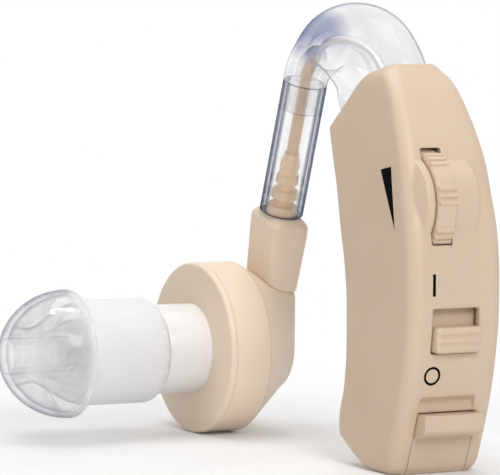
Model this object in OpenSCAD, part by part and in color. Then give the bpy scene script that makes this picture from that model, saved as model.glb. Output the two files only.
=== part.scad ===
// Behind-the-ear hearing aid: a curved case with a volume wheel, a slide switch
// and a swing-out battery door, a clear ear hook and sleeve with the receiver
// cable inside, and a drum-shaped receiver with a soft ear tip.
// +Z is up. The case and the receiver drum stand on z = 0. +X is across the case,
// -Y is its convex back. The origin is the middle of the case's flat foot.

/* [Case] */
// Width of the case across its side faces
case_w = 10.8; // [9.8:0.1:12]
// Height of the case
case_h = 40.7; // [38:0.1:44]
// Depth unit of the case profile, front to back
case_d = 12.5; // [12:0.1:14]
// Wall thickness of the case
wall = 0.9; // [0.7:0.05:1.1]
// Radius of the long edges of the convex back
back_edge_r = 1.4; // [1:0.1:2]
// Radius of the long edges of the front
front_edge_r = 0.4; // [0.4:0.1:1.2]

/* [Volume wheel] */
// Radius of the wheel's rim
wheel_r = 5.4; // [5.2:0.05:5.6]
// Width of the wheel
wheel_w = 2.2; // [1.8:0.1:2.3]
// Middle of the wheel across the case
wheel_x = -1.73; // [-2:0.01:-1.4]
// Height of the wheel's axis over the middle between the switch slot and the lip
wheel_rise = 1.56; // [1.3:0.01:1.9]
// Depth of the wheel's axis under the back surface
wheel_sink = 3.5; // [3.3:0.1:3.8]
// Height of the finger ribs on the rim
rib_h = 0.2; // [0.1:0.05:0.3]
// Radius of the raised guard that surrounds the wheel
guard_r = 4.95; // [4.7:0.05:5.1]

/* [Switch] */
// Width of the switch knob
knob_w = 5.2; // [4.6:0.1:5.6]
// Height of the switch knob
knob_h = 2.6; // [2.2:0.1:2.8]
// Travel of the switch knob
knob_travel = 1.7; // [1.4:0.1:1.8]
// How far the knob stands out of the back
knob_out = 1.1; // [0.8:0.1:1.4]
// Height of the bottom of the switch slot
slot_z = 12.4; // [12.2:0.1:12.6]

/* [Battery] */
// Diameter of the button cell
cell_d = 7.9; // [7.7:0.1:8]
// Thickness of the button cell
cell_t = 5.4; // [5:0.1:5.5]
// Width of the battery door
door_w = 6.8; // [6.7:0.1:7]
// Height of the door's upper edge at the back
door_top = 6.3; // [6.1:0.1:6.4]
// Radius of the hinge pin
pin_r = 0.4; // [0.3:0.05:0.45]

/* [Hook and sleeve] */
// Outer diameter of the clear sleeve
sleeve_d = 4.7; // [4.5:0.1:5]
// Wall of the clear sleeve
sleeve_wall = 0.5; // [0.45:0.05:0.55]
// Length of the clear sleeve
sleeve_l = 15; // [14:0.5:15.5]
// Lean of the sleeve from upright, in degrees
sleeve_lean = 18.6; // [17:0.1:20]
// Diameter of the receiver cable
cable_d = 1.3; // [1.1:0.05:1.5]

/* [Receiver] */
// Radius of the receiver drum
drum_r = 9.17; // [8.8:0.01:9.4]
// Thickness of the receiver drum with its cap
drum_t = 4.75; // [4.5:0.05:5.2]
// Thickness of the drum's front cap
cap_t = 0.7; // [0.6:0.05:0.9]
// Wall of the drum
drum_wall = 0.9; // [0.7:0.05:1]
// Depth of the housing behind the drum
rear_t = 5.4; // [5:0.1:5.8]
// Half width of the rear housing
rear_r = 4.95; // [4.7:0.05:5.2]
// Radius of the white nozzle
nozzle_r = 4.78; // [4.5:0.02:5]
// Length of the nozzle in front of the drum
nozzle_l = 5; // [4.5:0.1:5.5]

/* [Ear tip] */
// Radius of the tip's stem
stem_r = 5.6; // [5.3:0.1:5.8]
// Length of the stem from its end to the dome's rim
stem_l = 9.8; // [9:0.1:10.5]
// Radius of the dome's rim
dome_r = 6.8; // [6.6:0.1:7.2]
// Depth of the dome from its rim to its tip
dome_l = 7.5; // [7:0.1:8]
// Wall of the dome
dome_wall = 0.55; // [0.45:0.05:0.65]

/* [Hidden] */

// Colours as the photograph shows them
shell_colour = [0.86, 0.77, 0.67];
receiver_colour = [0.92, 0.85, 0.76];
clear_colour = [0.85, 0.88, 0.95, 0.45];

// Overrun of every cut past the solid that it cuts
overrun = 0.6;
// Clearance round parts that turn or slide on plastic
running = 0.05;
// Clearance round parts that are fixed in their seats
seat_gap = 0.02;
// Gap at the parting lines of covers and doors
parting = 0.1;
fine = 64;

// Case profile: each row is a level, with the back, the front and the half width
// there, as shares of the case's height, depth unit and half width
profile_shares = [
    [0, -0.11, 0.2, 0.88],
    [0.01, -0.14, 0.3, 0.95],
    [0.025, -0.16, 0.395, 0.985],
    [0.047, -0.184, 0.509, 1],
    [0.08, -0.222, 0.666, 1],
    [0.115, -0.26, 0.672, 1],
    [0.19, -0.334, 0.608, 1],
    [0.29, -0.4, 0.577, 1],
    [0.4, -0.436, 0.585, 1],
    [0.49, -0.432, 0.621, 1],
    [0.59, -0.396, 0.703, 0.995],
    [0.69, -0.312, 0.795, 0.965],
    [0.76, -0.248, 0.882, 0.935],
    [0.835, -0.14, 0.989, 0.875],
    [0.895, -0.03, 0.8, 0.81],
    [0.945, 0.09, 0.65, 0.75],
    [0.972, 0.18, 0.55, 0.68],
    [0.99, 0.245, 0.4, 0.55],
    [1, 0.27, 0.33, 0.4]];
levels = [for (row = profile_shares) row[0] * case_h];

// Column of the profile at a height, worked out between its levels
function profile_at(z, column) =
    lookup(z / case_h, [for (row = profile_shares) [row[0], row[column]]]);
function back_y(z) = case_d * profile_at(z, 1);
function front_y(z) = case_d * profile_at(z, 2);
function half_w(z) = case_w / 2 * profile_at(z, 3);

// Lip of the hook opening: the front wall ends here
lip_z = levels[13];

// Points of one rounded corner about its centre, from one angle to the next
corner_steps = 5;
corner_share = 0.95;
function corner(cx, cy, r, from) =
    [for (i = [0:corner_steps]) let (t = from + 90 * i / corner_steps)
        [cx + r * cos(t), cy + r * sin(t)]];

// Ring of the case at height z, drawn in by inset, with the front left open
// above the lip when open_top is set
function case_ring(z, inset, open_top) =
    let (hw = half_w(z) - inset,
        yb = back_y(z) + inset,
        yf = front_y(z) - (open_top && z > lip_z ? -overrun : inset),
        room = min(hw, (yf - yb) / 2) * corner_share,
        rb = min(max(back_edge_r - inset, back_edge_r / 4), room),
        rf = min(max(front_edge_r - inset, front_edge_r / 4), room))
    [for (p = concat(corner(hw - rf, yf - rf, rf, 0), corner(-hw + rf, yf - rf, rf, 90),
            corner(-hw + rb, yb + rb, rb, 180), corner(hw - rb, yb + rb, rb, 270)))
        [p[0], p[1], z]];

// Closed skin over rings that all have the same number of points
module loft(rings) {
    n = len(rings[0]);
    last = (len(rings) - 1) * n;
    polyhedron(
        points = [for (ring = rings) each ring],
        faces = concat(
            [[for (i = [0:n - 1]) i]],
            [for (k = [0:len(rings) - 2]) for (i = [0:n - 1]) let (j = (i + 1) % n)
                each [[k * n + i, (k + 1) * n + i, (k + 1) * n + j],
                    [k * n + i, (k + 1) * n + j, k * n + j]]],
            [[for (i = [n - 1:-1:0]) last + i]]),
        convexity = 8);
}

module case_outer() {
    loft([for (z = levels) case_ring(z, 0, false)]);
}

// Cylinder along X from x0 to x1, with its axis at y and z
module bar_x(x0, x1, y, z, r) {
    translate([x0, y, z]) rotate([0, 90, 0]) cylinder(h = x1 - x0, r = r, $fn = fine);
}

// Cone along X from radius r0 at x0 to radius r1 at x1
module cone_x(x0, x1, y, z, r0, r1) {
    translate([x0, y, z]) rotate([0, 90, 0]) cylinder(h = x1 - x0, r1 = r0, r2 = r1, $fn = fine);
}

// Outline in Y and Z, pushed along X from x0 to x1
module slab_x(x0, x1, outline) {
    translate([x0, 0, 0]) rotate([90, 0, 90]) linear_extrude(height = x1 - x0) polygon(outline);
}

// Box between two corners
module box(low, high) {
    translate(low) cube(high - low);
}

// Main cavity of the case, over the battery bay's roof
bay_roof_z = 10.3;
cavity_z = bay_roof_z + wall;
cavity_top_z = levels[len(levels) - 3];
cavity_levels = concat([cavity_z],
    [for (z = levels) if (z > cavity_z && z < cavity_top_z)
        each z == lip_z ? [z, z + seat_gap] : [z]],
    [cavity_top_z]);

// Switch slot, and the pocket behind it that the slider plate runs in
switch_x = -0.2;
slot_h = knob_h + knob_travel + 2 * parting;
slot_w = knob_w + 2 * parting;
plate_t = 0.4;
plate_lap = 0.4;
plate_low = slot_z + parting - knob_travel - plate_lap;
plate_high = slot_z + slot_h + plate_lap;
plate_w = slot_w + 2 * plate_lap;
plate_y = back_y(plate_low) + wall + plate_t / 2;
knob_z = slot_z + parting;

// Raised guard round the wheel
guard_left_x = -3.78;
guard_right_x = 2.3;
guard_chamfer = 0.6;
guard_rise = guard_r - wheel_sink;
wheel_z = (slot_z + slot_h + lip_z) / 2 + wheel_rise;
wheel_y = back_y(wheel_z) + wheel_sink;
wheel_slot_r = wheel_r + rib_h + 2 * parting;
wheel_slot_w = wheel_w + 2 * parting;

// Battery bay and the door's hinge
door_half = door_w / 2;
bay_half = door_half + running;
pin_y = 6.7;
pin_z = 3.4;
knuckle_r = 0.92;
cell_y = 1.5;
cell_z = 5.9;
cell_r = cell_d / 2;
tray_top = 7.4;
ridge_out = 1.4;
ridge_h = 1.35;
nail_r = 0.95;
nail_rise_share = 0.8;

// Frame of the sleeve: its lower end on the neck, pointing up the sleeve
sleeve_y = 29.96;
sleeve_z = 23.91;
module on_sleeve() {
    translate([0, sleeve_y, sleeve_z]) rotate([sleeve_lean, 0, 0]) children();
}
// Point on the sleeve's axis at a distance up from its lower end
function sleeve_point(t) = [sleeve_y - t * sin(sleeve_lean), sleeve_z + t * cos(sleeve_lean)];

sleeve_r = sleeve_d / 2;
sleeve_bore = sleeve_r - sleeve_wall;
spigot_l = 3.3;
spigot_r = sleeve_bore - seat_gap;
cable_r = cable_d / 2;
core_r = 0.3;
core_channel_r = core_r + parting;
bore_r = 1.25;
hook_end = sleeve_point(sleeve_l);
hook_turn = sleeve_point(sleeve_l + sleeve_r / 3);
cable_low = 0.6;

// Hook stations from inside the case, over the arch to the top of the sleeve:
// reach from the mouth towards the sleeve, lift above the line between them, and
// half depth and half width there, as shares of the sizes named after the table
hook_station_shares = [
    [-0.121, -0.365, 0.722, 0.8],
    [0, 0, 1, 1],
    [0.172, 0.674, 0.926, 1],
    [0.443, 0.949, 0.759, 0.917],
    [0.718, 0.885, 0.565, 0.75],
    [0.917, 0.431, 0.472, 0.68]];
mouth_height_share = 0.9165;
mouth_depth_share = 0.624;
hook_rise = 5.2;
hook_half_depth = 5.4;
hook_half_width = 3.6;
// How much squarer than round the hook's inner side is at its widest
hook_square_share = 2.5;
mouth = [mouth_depth_share * case_d, mouth_height_share * case_h];
hook_stations = concat(
    [for (row = hook_station_shares)
        let (along = mouth + row[0] * (hook_end - mouth))
        [along[0], along[1] + row[1] * hook_rise, row[2] * hook_half_depth,
            row[3] * hook_half_width]],
    [[hook_turn[0], hook_turn[1], sleeve_r, sleeve_r]]);

// Smooth value between stations, by the usual four-point blend
function blend4(a, b, c, d, t) =
    0.5 * (2 * b + (c - a) * t + (2 * a - 5 * b + 4 * c - d) * t * t
        + (3 * b - a - 3 * c + d) * t * t * t);
function station(rows, k) =
    k < 0 ? 2 * rows[0] - rows[1] :
    k >= len(rows) ? 2 * rows[len(rows) - 1] - rows[len(rows) - 2] : rows[k];
function smooth_rows(rows, steps) =
    [for (k = [0:len(rows) - 2]) for (i = [0:steps - 1])
            blend4(station(rows, k - 1), rows[k], rows[k + 1], station(rows, k + 2), i / steps),
        rows[len(rows) - 1]];

// Cosine or sine drawn out towards a square when the power is under one
function squared(v, power) = sign(v) * pow(abs(v), power);

// Rings square to a path of rows [y, z, half depth, half width] in the plane x = 0,
// with the inner side squarer where the path is wider than the sleeve
function path_rings(rows, sides) =
    [for (k = [0:len(rows) - 1])
        let (before = rows[max(k - 1, 0)],
            after = rows[min(k + 1, len(rows) - 1)],
            dy = after[0] - before[0],
            dz = after[1] - before[1],
            run = norm([dy, dz]),
            wider = max(rows[k][3] - sleeve_r, 0) / (hook_half_width - sleeve_r),
            inner = 2 / (2 + hook_square_share * wider))
        [for (i = [0:sides - 1])
            let (t = -360 * i / sides,
                power = sin(t) < 0 ? inner : 1,
                across = rows[k][3] * squared(cos(t), power),
                off = rows[k][2] * squared(sin(t), power))
            [across, rows[k][0] - dz / run * off, rows[k][1] + dy / run * off]]];

hook_steps = 5;
hook_sides = 24;
hook_rows = concat(smooth_rows(hook_stations, hook_steps),
    [[hook_end[0], hook_end[1], sleeve_r, sleeve_r]]);

// Seat in the case's mouth: the hook's own form, a little larger
seat_rows = [for (k = [0:2 * hook_steps]) hook_rows[k] + [0, 0, running, running]];

// The cable's jacket ends in the hook's bend, where the wide bore narrows to a
// channel for the bare cores
jacket_from = len(hook_rows) - 2 * hook_steps;
function round_rows(rows, thin, wide) =
    [for (k = [0:len(rows) - 1]) let (r = k < jacket_from ? thin : wide)
        [rows[k][0], rows[k][1], r, r]];

// Board and what it carries
board_x = 1.75;
board_t = 0.6;
board_low = slot_z + parting;
board_edge = 2.2;
board_clear_share = 0.73;
board_high = hook_stations[0][1] - hook_stations[0][2] * board_clear_share;

// Microphone behind the front wall
mic_x = -1;
mic_z = 19;
mic_r = 1.9;
mic_t = 1.3;
mic_gasket_t = 0.4;
mic_port_r = 0.45;
mic_front_y = front_y(mic_z - mic_r - mic_gasket_t) - wall - parting;

// Side cover in the right-hand face
cover_lap = 0.4;
cover_over = 3.1;
cover_low = slot_z + cover_lap;
cover_high = wheel_z + cover_over;
cover_margin = 2;
cover_steps = 6;

function side_outline(low, high, edge, steps) =
    concat([for (i = [0:steps]) let (z = low + (high - low) * i / steps) [back_y(z) + edge, z]],
        [for (i = [steps:-1:0]) let (z = low + (high - low) * i / steps) [front_y(z) - edge, z]]);

cover_x = case_w / 2 - wall;
cover_reach = case_w / 2 + overrun;

// Battery contacts, through the bay's roof
contact_t = 0.2;
contact_gap = 0.03;
contact_x = cell_t / 2 + contact_gap;
contact_low = tray_top + 2 * parting;
contact_high = board_low + wall;
contact_w = 2.2;
contact_y = cell_y - contact_w / 2;

// Hook's cross pin
hook_pin_r = 0.45;
hook_pin_forward = 2.1;
hook_pin_drop = 0.7;
hook_pin_y = hook_stations[0][0] + hook_pin_forward;
hook_pin_z = hook_stations[0][1] - hook_pin_drop;
hook_pin_half = 4.2;

// Receiver: the drum's axis is parallel to X
drum_y = 34.94;
drum_front_x = -8.05;
drum_back_x = drum_front_x + drum_t;
rear_back_x = drum_back_x + rear_t;
rear_top_z = 15.3;
neck_w_top = 4.6;
neck_w_low = 3.6;
neck_d = 5.9;
neck_l = 8.6;
neck_edge = 0.7;
neck_shift = 0.4;
rear_bore_r = 3.6;
rear_wall = 1;

// Driver inside the drum
basket_r = drum_r - drum_wall - parting;
yoke_r = 5.2;
yoke_t = 2.1;
yoke_wall = 0.5;
coil_r = 3.6;
coil_t = 0.3;
coil_h = 1.6;
magnet_r = 3.1;
magnet_t = 1.1;
plate_r = 3.15;
pole_t = 0.35;
film_t = 0.12;
film_gap = 0.25;
film_x = drum_front_x + cap_t + film_gap;
yoke_x = drum_back_x - yoke_t;

// Nozzle spigot and the tip's bore
spigot_tip_r = 3.5;
spigot_tip_l = 6;
sound_r = 2.2;
tip_end_x = drum_front_x - nozzle_l;
rim_x = tip_end_x - stem_l;
dome_tip_x = rim_x - dome_l;
tip_mouth_r = 1.9;
shoulder_r = 1;

module main_shell() {
    color(shell_colour) difference() {
        union() {
            case_outer();
            bar_x(guard_left_x, guard_right_x, wheel_y, wheel_z, guard_r);
            cone_x(guard_left_x - guard_chamfer, guard_left_x, wheel_y, wheel_z,
                guard_r - guard_rise, guard_r);
        }
        loft([for (z = cavity_levels) case_ring(z, wall, true)]);
        bar_x(wheel_x - wheel_slot_w / 2, wheel_x + wheel_slot_w / 2, wheel_y, wheel_z,
            wheel_slot_r);
        bar_x(wheel_x, guard_right_x - wall, wheel_y, wheel_z, pot_r + parting);
        box([switch_x - slot_w / 2, back_y(slot_z) - case_d, slot_z],
            [switch_x + slot_w / 2, plate_y, slot_z + slot_h]);
        box([switch_x - plate_w / 2 - parting, plate_y - plate_t - parting, plate_low - parting],
            [switch_x + plate_w / 2 + parting, plate_y + wall, plate_high + knob_travel + parting]);
        slab_x(-bay_half, bay_half, bay_outline());
        bar_x(-case_w / 2 + wall / 2 - seat_gap, case_w, pin_y, pin_z, pin_r + seat_gap);
        bar_x(-door_half, door_half - nail_r / 2, back_y(door_top + nail_r / 2) - nail_r / 2,
            door_top + nail_r * nail_rise_share, nail_r);
        slab_x(cover_x - overrun, cover_reach,
            side_outline(cover_low, cover_high, cover_margin, cover_steps));
        for (side = [-1, 1]) translate([side * (contact_x + contact_t / 2), 0, 0])
            box([-contact_t / 2 - parting, contact_y - parting, bay_roof_z - wall],
                [contact_t / 2 + parting, contact_y + contact_w + parting, cavity_z + wall]);
        translate([mic_x, front_y(mic_z) - case_d / 2, mic_z]) rotate([-90, 0, 0])
            cylinder(h = case_d, r = mic_port_r, $fn = fine);
        bar_x(-hook_pin_half - seat_gap, case_w, hook_pin_y, hook_pin_z, hook_pin_r + seat_gap);
        loft(path_rings(seat_rows, hook_sides));
    }
}

// Outline of the battery bay, open at the back, at the foot and round the knuckle
function bay_outline() = [
    [back_y(door_top) - case_d, -overrun],
    [back_y(door_top) - case_d, door_top + parting],
    [back_y(door_top) + wall, door_top + parting],
    [back_y(bay_roof_z) + wall, bay_roof_z],
    [front_y(bay_roof_z) - wall, bay_roof_z],
    [front_y(tray_top) - wall, tray_top],
    [pin_y + knuckle_r + parting, pin_z + knuckle_r],
    [pin_y + knuckle_r + parting, pin_z - parting],
    [front_y(pin_z) + overrun, pin_z - parting],
    [front_y(pin_z) + overrun, -overrun]];

module side_cover() {
    color(shell_colour) intersection() {
        case_outer();
        slab_x(cover_x, cover_reach,
            side_outline(cover_low + parting, cover_high - parting, cover_margin + parting,
                cover_steps));
    }
}

// Finger ribs in groups round the wheel's rim
rib_groups = 6;
ribs_in_group = 3;
rib_step_angle = 7.5;
rib_w = 0.45;
rib_lift_angle = 13;
hub_r = 1;
hub_l = 1.7;
screw_r = 0.35;
screw_head_r = 0.8;
screw_head_t = 0.4;

module volume_wheel() {
    x0 = wheel_x - wheel_w / 2;
    x1 = wheel_x + wheel_w / 2;
    color(shell_colour) difference() {
        union() {
            bar_x(x0, x1, wheel_y, wheel_z, wheel_r);
            bar_x(x1, x1 + hub_l, wheel_y, wheel_z, hub_r);
            for (g = [0:rib_groups - 1]) for (k = [0:ribs_in_group - 1])
                translate([wheel_x, wheel_y, wheel_z])
                    rotate([-rib_lift_angle + 360 / rib_groups * g
                        + rib_step_angle * (k - (ribs_in_group - 1) / 2), 0, 0])
                    translate([0, -wheel_r, 0])
                    cube([wheel_w, 2 * rib_h, rib_w], center = true);
        }
        bar_x(x0 - overrun, x1 + hub_l + overrun, wheel_y, wheel_z, screw_r + seat_gap);
        bar_x(x0 - overrun, x0 + screw_head_t, wheel_y, wheel_z, screw_head_r + seat_gap);
    }
}

module wheel_screw() {
    x0 = wheel_x - wheel_w / 2;
    color("silver") difference() {
        union() {
            bar_x(x0, x0 + screw_head_t, wheel_y, wheel_z, screw_head_r);
            bar_x(x0, x0 + wheel_w + hub_l, wheel_y, wheel_z, screw_r);
        }
        box([x0 - overrun, wheel_y - screw_head_r - overrun, wheel_z - screw_head_t / 4],
            [x0 + screw_head_t / 2, wheel_y + screw_head_r + overrun,
                wheel_z + screw_head_t / 4]);
    }
}

// Potentiometer: a flat disc between the wheel and the board
pot_r = 3.95;
pot_base_r = wheel_sink - wall - 2 * parting;
module volume_potentiometer() {
    x0 = wheel_x + wheel_w / 2 + 2 * parting;
    color("dimgray") difference() {
        union() {
            bar_x(x0, guard_right_x - wall - parting, wheel_y, wheel_z, pot_r);
            bar_x(x0, board_x, wheel_y, wheel_z, pot_base_r);
        }
        bar_x(x0 - overrun, board_x + overrun, wheel_y, wheel_z, hub_r + running);
    }
}

module circuit_board() {
    color("seagreen") slab_x(board_x, board_x + board_t,
        side_outline(board_low, board_high, board_edge, cover_steps));
}

// Upright electrolytic capacitors, of one size, on the board
can_r = 0.95;
can_l = 2.4;
can_y = 3;
can_rise = 1.7;
can_low_z = slot_z + can_rise;
can_step = 2.3;
module capacitors() {
    color("darkslateblue") for (k = [0:1])
        bar_x(board_x - can_l, board_x, can_y, can_low_z + k * can_step, can_r);
}

chip_y = -1.2;
chip_w = 3;
chip_t = 0.9;
chip_z = can_low_z + can_step + can_r + parting;
module amplifier_chip() {
    color("black") union() {
        box([board_x - chip_t, chip_y, chip_z], [board_x, chip_y + chip_w, chip_z + chip_w]);
    }
}

module microphone() {
    color("gold") translate([mic_x, mic_front_y - mic_gasket_t, mic_z]) rotate([90, 0, 0])
        difference() {
            cylinder(h = mic_t, r = mic_r, $fn = fine);
            translate([0, 0, -overrun]) cylinder(h = overrun + mic_t / 2, r = mic_port_r,
                $fn = fine);
        }
}

module microphone_boot() {
    color("black") translate([mic_x, mic_front_y, mic_z]) rotate([90, 0, 0])
        difference() {
            cylinder(h = mic_gasket_t + mic_t, r = mic_r + mic_gasket_t, $fn = fine);
            translate([0, 0, mic_gasket_t]) cylinder(h = mic_t + overrun, r = mic_r + seat_gap,
                $fn = fine);
            translate([0, 0, -overrun]) cylinder(h = mic_t + overrun, r = mic_port_r,
                $fn = fine);
        }
}

// Knob with two finger grooves, and the slider plate behind the slot
groove_r = 0.22;
module switch_knob() {
    tip_y = back_y(slot_z) - knob_out;
    color(shell_colour) difference() {
        union() {
            box([switch_x - knob_w / 2, tip_y, knob_z],
                [switch_x + knob_w / 2, plate_y - plate_t / 2, knob_z + knob_h]);
            box([switch_x - plate_w / 2, plate_y - plate_t, plate_low],
                [switch_x + plate_w / 2, plate_y, plate_high]);
        }
        for (k = [1:2])
            bar_x(switch_x - knob_w, switch_x + knob_w, tip_y - groove_r / 2,
                knob_z + knob_h * k / 3, groove_r);
    }
}

switch_deep = 2.8;
module switch_body() {
    color("dimgray") difference() {
        box([switch_x - plate_w / 2 + plate_lap, plate_y + parting, slot_z - plate_lap],
            [board_x, plate_y + parting + switch_deep, slot_z + slot_h]);
        box([switch_x - knob_w / 4, plate_y, slot_z],
            [switch_x + knob_w / 4, plate_y + parting + plate_t, slot_z + slot_h - plate_lap]);
    }
}

// Door: a block under the case's own skin, with a round tray for the cell,
// a ridge for the fingernail and a knuckle on the hinge pin
function door_outline() = [
    [back_y(door_top) - case_d, -overrun],
    [back_y(door_top) - case_d, door_top],
    [back_y(door_top) + wall + parting, door_top],
    [cell_y - cell_r, tray_top],
    [pin_y - knuckle_r * 1.9, tray_top],
    [pin_y - knuckle_r, pin_z + knuckle_r * 1.5],
    [pin_y, pin_z + knuckle_r],
    [pin_y, -overrun]];

function ridge_outline() = [
    [back_y(door_top) + wall / 2, door_top],
    [back_y(door_top) - ridge_out, door_top],
    [back_y(door_top) - ridge_out, door_top - ridge_h],
    [back_y(door_top - ridge_h) - ridge_out / 6, door_top - ridge_h * 1.5],
    [back_y(door_top - ridge_h) + wall / 2, door_top - ridge_h * 1.5]];

module battery_door() {
    color(shell_colour) difference() {
        union() {
            intersection() {
                case_outer();
                slab_x(-door_half, door_half, door_outline());
            }
            slab_x(-door_half, door_half, ridge_outline());
            bar_x(-door_half, door_half, pin_y, pin_z, knuckle_r);
        }
        bar_x(-cell_t / 2 - running, cell_t / 2 + running, cell_y, cell_z, cell_r + running);
        bar_x(-case_w, case_w, pin_y, pin_z, pin_r + running);
    }
}

module hinge_pin() {
    color("silver") bar_x(-case_w / 2 + wall / 2, case_w / 2 - wall / 2, pin_y, pin_z, pin_r);
}

// Button cell: a wide can, a seal and a smaller cap
cell_step = 0.35;
cap_share = 0.3;
module button_cell() {
    seam_x = -cell_t / 2 + cell_t * cap_share;
    color("gainsboro") union() {
        bar_x(seam_x, cell_t / 2, cell_y, cell_z, cell_r);
        cone_x(-cell_t / 2, seam_x, cell_y, cell_z, cell_r - 2 * cell_step, cell_r - cell_step);
    }
}

module contact(side) {
    color("goldenrod") translate([side * (contact_x + contact_t / 2), 0, 0])
        box([-contact_t / 2, contact_y, contact_low],
            [contact_t / 2, contact_y + contact_w, contact_high]);
}

module positive_contact() {
    contact(1);
}

module negative_contact() {
    contact(-1);
}

module ear_hook() {
    color(clear_colour) difference() {
        union() {
            loft(path_rings(hook_rows, hook_sides));
            on_sleeve() translate([0, 0, sleeve_l - spigot_l])
                cylinder(h = spigot_l + seat_gap, r = spigot_r, $fn = fine);
        }
        loft(path_rings(cable_channel_rows(), 12));
        bar_x(-case_w, case_w, hook_pin_y, hook_pin_z, hook_pin_r + seat_gap);
    }
}

// Channel for the cable, from below the hook's foot to past its spigot's end
function cable_channel_rows() =
    let (rows = round_rows(hook_rows, core_channel_r, bore_r),
        first = rows[0],
        step = rows[1] - rows[0],
        end = sleeve_point(sleeve_l - spigot_l - overrun))
    concat([first - step * overrun / norm(step)], rows,
        [[end[0], end[1], bore_r, bore_r]]);

module hook_pin() {
    color("silver") bar_x(-hook_pin_half, hook_pin_half, hook_pin_y, hook_pin_z, hook_pin_r);
}

module clear_sleeve() {
    color(clear_colour) on_sleeve() difference() {
        translate([0, 0, parting]) cylinder(h = sleeve_l - 2 * parting, r = sleeve_r, $fn = fine);
        translate([0, 0, -overrun]) cylinder(h = sleeve_l + 2 * overrun, r = sleeve_bore,
            $fn = fine);
    }
}

// Cable: bare cores along the hook's axis, then the jacket down the middle of the sleeve
cable_sides = 8;
module receiver_cable() {
    low = sleeve_point(cable_low);
    color(receiver_colour)
        loft(path_rings(concat(round_rows(hook_rows, core_r, cable_r),
            [[low[0], low[1], cable_r, cable_r]]), cable_sides));
}

// Ribbed strain relief: bands that widen towards the neck
boot_l = 6.9;
boot_top_r = 1.05;
boot_low_r = 1.68;
boot_bands = 4;
notch_share = 0.18;
notch_r = 0.95;
function boot_profile() =
    let (step = boot_l / boot_bands,
        widen = (boot_low_r - boot_top_r) / (boot_bands - 1))
    concat([[cable_r + running, 0]],
        [for (k = [0:boot_bands - 1]) let (r = boot_low_r - widen * k, z = k * step)
            each [[r, z], [r - widen / 3, z + step * (1 - notch_share)],
                [k == boot_bands - 1 ? r - widen : notch_r,
                    z + step * (k == boot_bands - 1 ? 1 : 1 - notch_share)],
                [k == boot_bands - 1 ? cable_r + running : notch_r, z + step]]]);

module strain_relief_boot() {
    color(receiver_colour) on_sleeve()
        rotate_extrude($fn = fine) polygon(boot_profile());
}

// Neck: a rounded block on the sleeve's axis, narrower at its foot
module neck_block() {
    color(receiver_colour) difference() {
        hull() {
            on_sleeve() for (x = [-1, 1]) for (y = [-1, 1]) {
                translate([x * (neck_w_top / 2 - neck_edge), y * (neck_d / 2 - neck_edge),
                        -neck_edge])
                    sphere(r = neck_edge, $fn = 24);
                translate([neck_shift + x * (neck_w_low / 2 - neck_edge),
                        y * (neck_d / 2 - neck_edge), -neck_l - neck_edge])
                    sphere(r = neck_edge, $fn = 24);
            }
        }
        rear_form();
        box([drum_front_x, drum_y - drum_r, 0], [rear_back_x, drum_y + drum_r, rear_top_z]);
        on_sleeve() translate([0, 0, -neck_l * 2]) cylinder(h = neck_l * 2 + overrun,
            r = cable_r + running, $fn = fine);
    }
}

// Rear housing: from the drum's round rim to a narrower U-shaped back
module rear_form() {
    skin = parting;
    hull() {
        bar_x(drum_back_x, drum_back_x + skin, drum_y, drum_r, drum_r);
        bar_x(rear_back_x - skin, rear_back_x, drum_y, drum_r, rear_r);
        box([rear_back_x - skin, drum_y - rear_r, drum_r],
            [rear_back_x, drum_y + rear_r, rear_top_z]);
    }
}

module receiver_rear_housing() {
    color(receiver_colour) difference() {
        rear_form();
        bar_x(drum_back_x - overrun, rear_back_x - rear_wall, drum_y, drum_r, rear_bore_r);
    }
}

module receiver_drum() {
    color(receiver_colour) difference() {
        bar_x(drum_front_x + cap_t, drum_back_x, drum_y, drum_r, drum_r);
        bar_x(drum_front_x, drum_back_x + overrun, drum_y, drum_r, drum_r - drum_wall);
    }
}

// Front cap, with a step that fits in the drum and a hole for the nozzle's sound
module receiver_front_cap() {
    color(receiver_colour) difference() {
        union() {
            cone_x(drum_front_x, drum_front_x + seat_edge, drum_y, drum_r, drum_r - seat_edge,
                drum_r);
            bar_x(drum_front_x + seat_edge, drum_front_x + cap_t - seat_gap, drum_y, drum_r,
                drum_r);
        }
        bar_x(drum_front_x - overrun, drum_front_x + cap_t, drum_y, drum_r,
            nozzle_flange_r + seat_gap);
    }
}
seat_edge = 0.15;
nozzle_flange_r = 4.4;

module driver_yoke() {
    color("dimgray") difference() {
        union() {
            bar_x(yoke_x, drum_back_x, drum_y, drum_r, yoke_r);
            bar_x(drum_back_x - yoke_wall, drum_back_x, drum_y, drum_r, basket_r);
            difference() {
                bar_x(film_x + film_t, drum_back_x, drum_y, drum_r, basket_r);
                bar_x(film_x, drum_back_x, drum_y, drum_r, basket_r - yoke_wall);
            }
        }
        bar_x(yoke_x - overrun, drum_back_x - yoke_wall, drum_y, drum_r, yoke_r - yoke_wall);
        bar_x(yoke_x, drum_back_x + overrun, drum_y, drum_r, screw_head_r);
    }
}

module driver_magnet() {
    x1 = drum_back_x - yoke_wall;
    color("silver") difference() {
        bar_x(x1 - magnet_t, x1, drum_y, drum_r, magnet_r);
        bar_x(x1 - magnet_t - overrun, x1 + overrun, drum_y, drum_r, screw_head_r);
    }
}

module pole_plate() {
    x1 = drum_back_x - yoke_wall - magnet_t;
    color("dimgray") difference() {
        bar_x(x1 - pole_t, x1, drum_y, drum_r, plate_r);
        bar_x(x1 - pole_t - overrun, x1 + overrun, drum_y, drum_r, screw_head_r);
    }
}

module voice_coil() {
    x0 = film_x + film_t;
    color("peru") difference() {
        bar_x(x0, x0 + coil_h, drum_y, drum_r, coil_r + coil_t);
        bar_x(x0 - overrun, x0 + coil_h + overrun, drum_y, drum_r, coil_r);
    }
}

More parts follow.
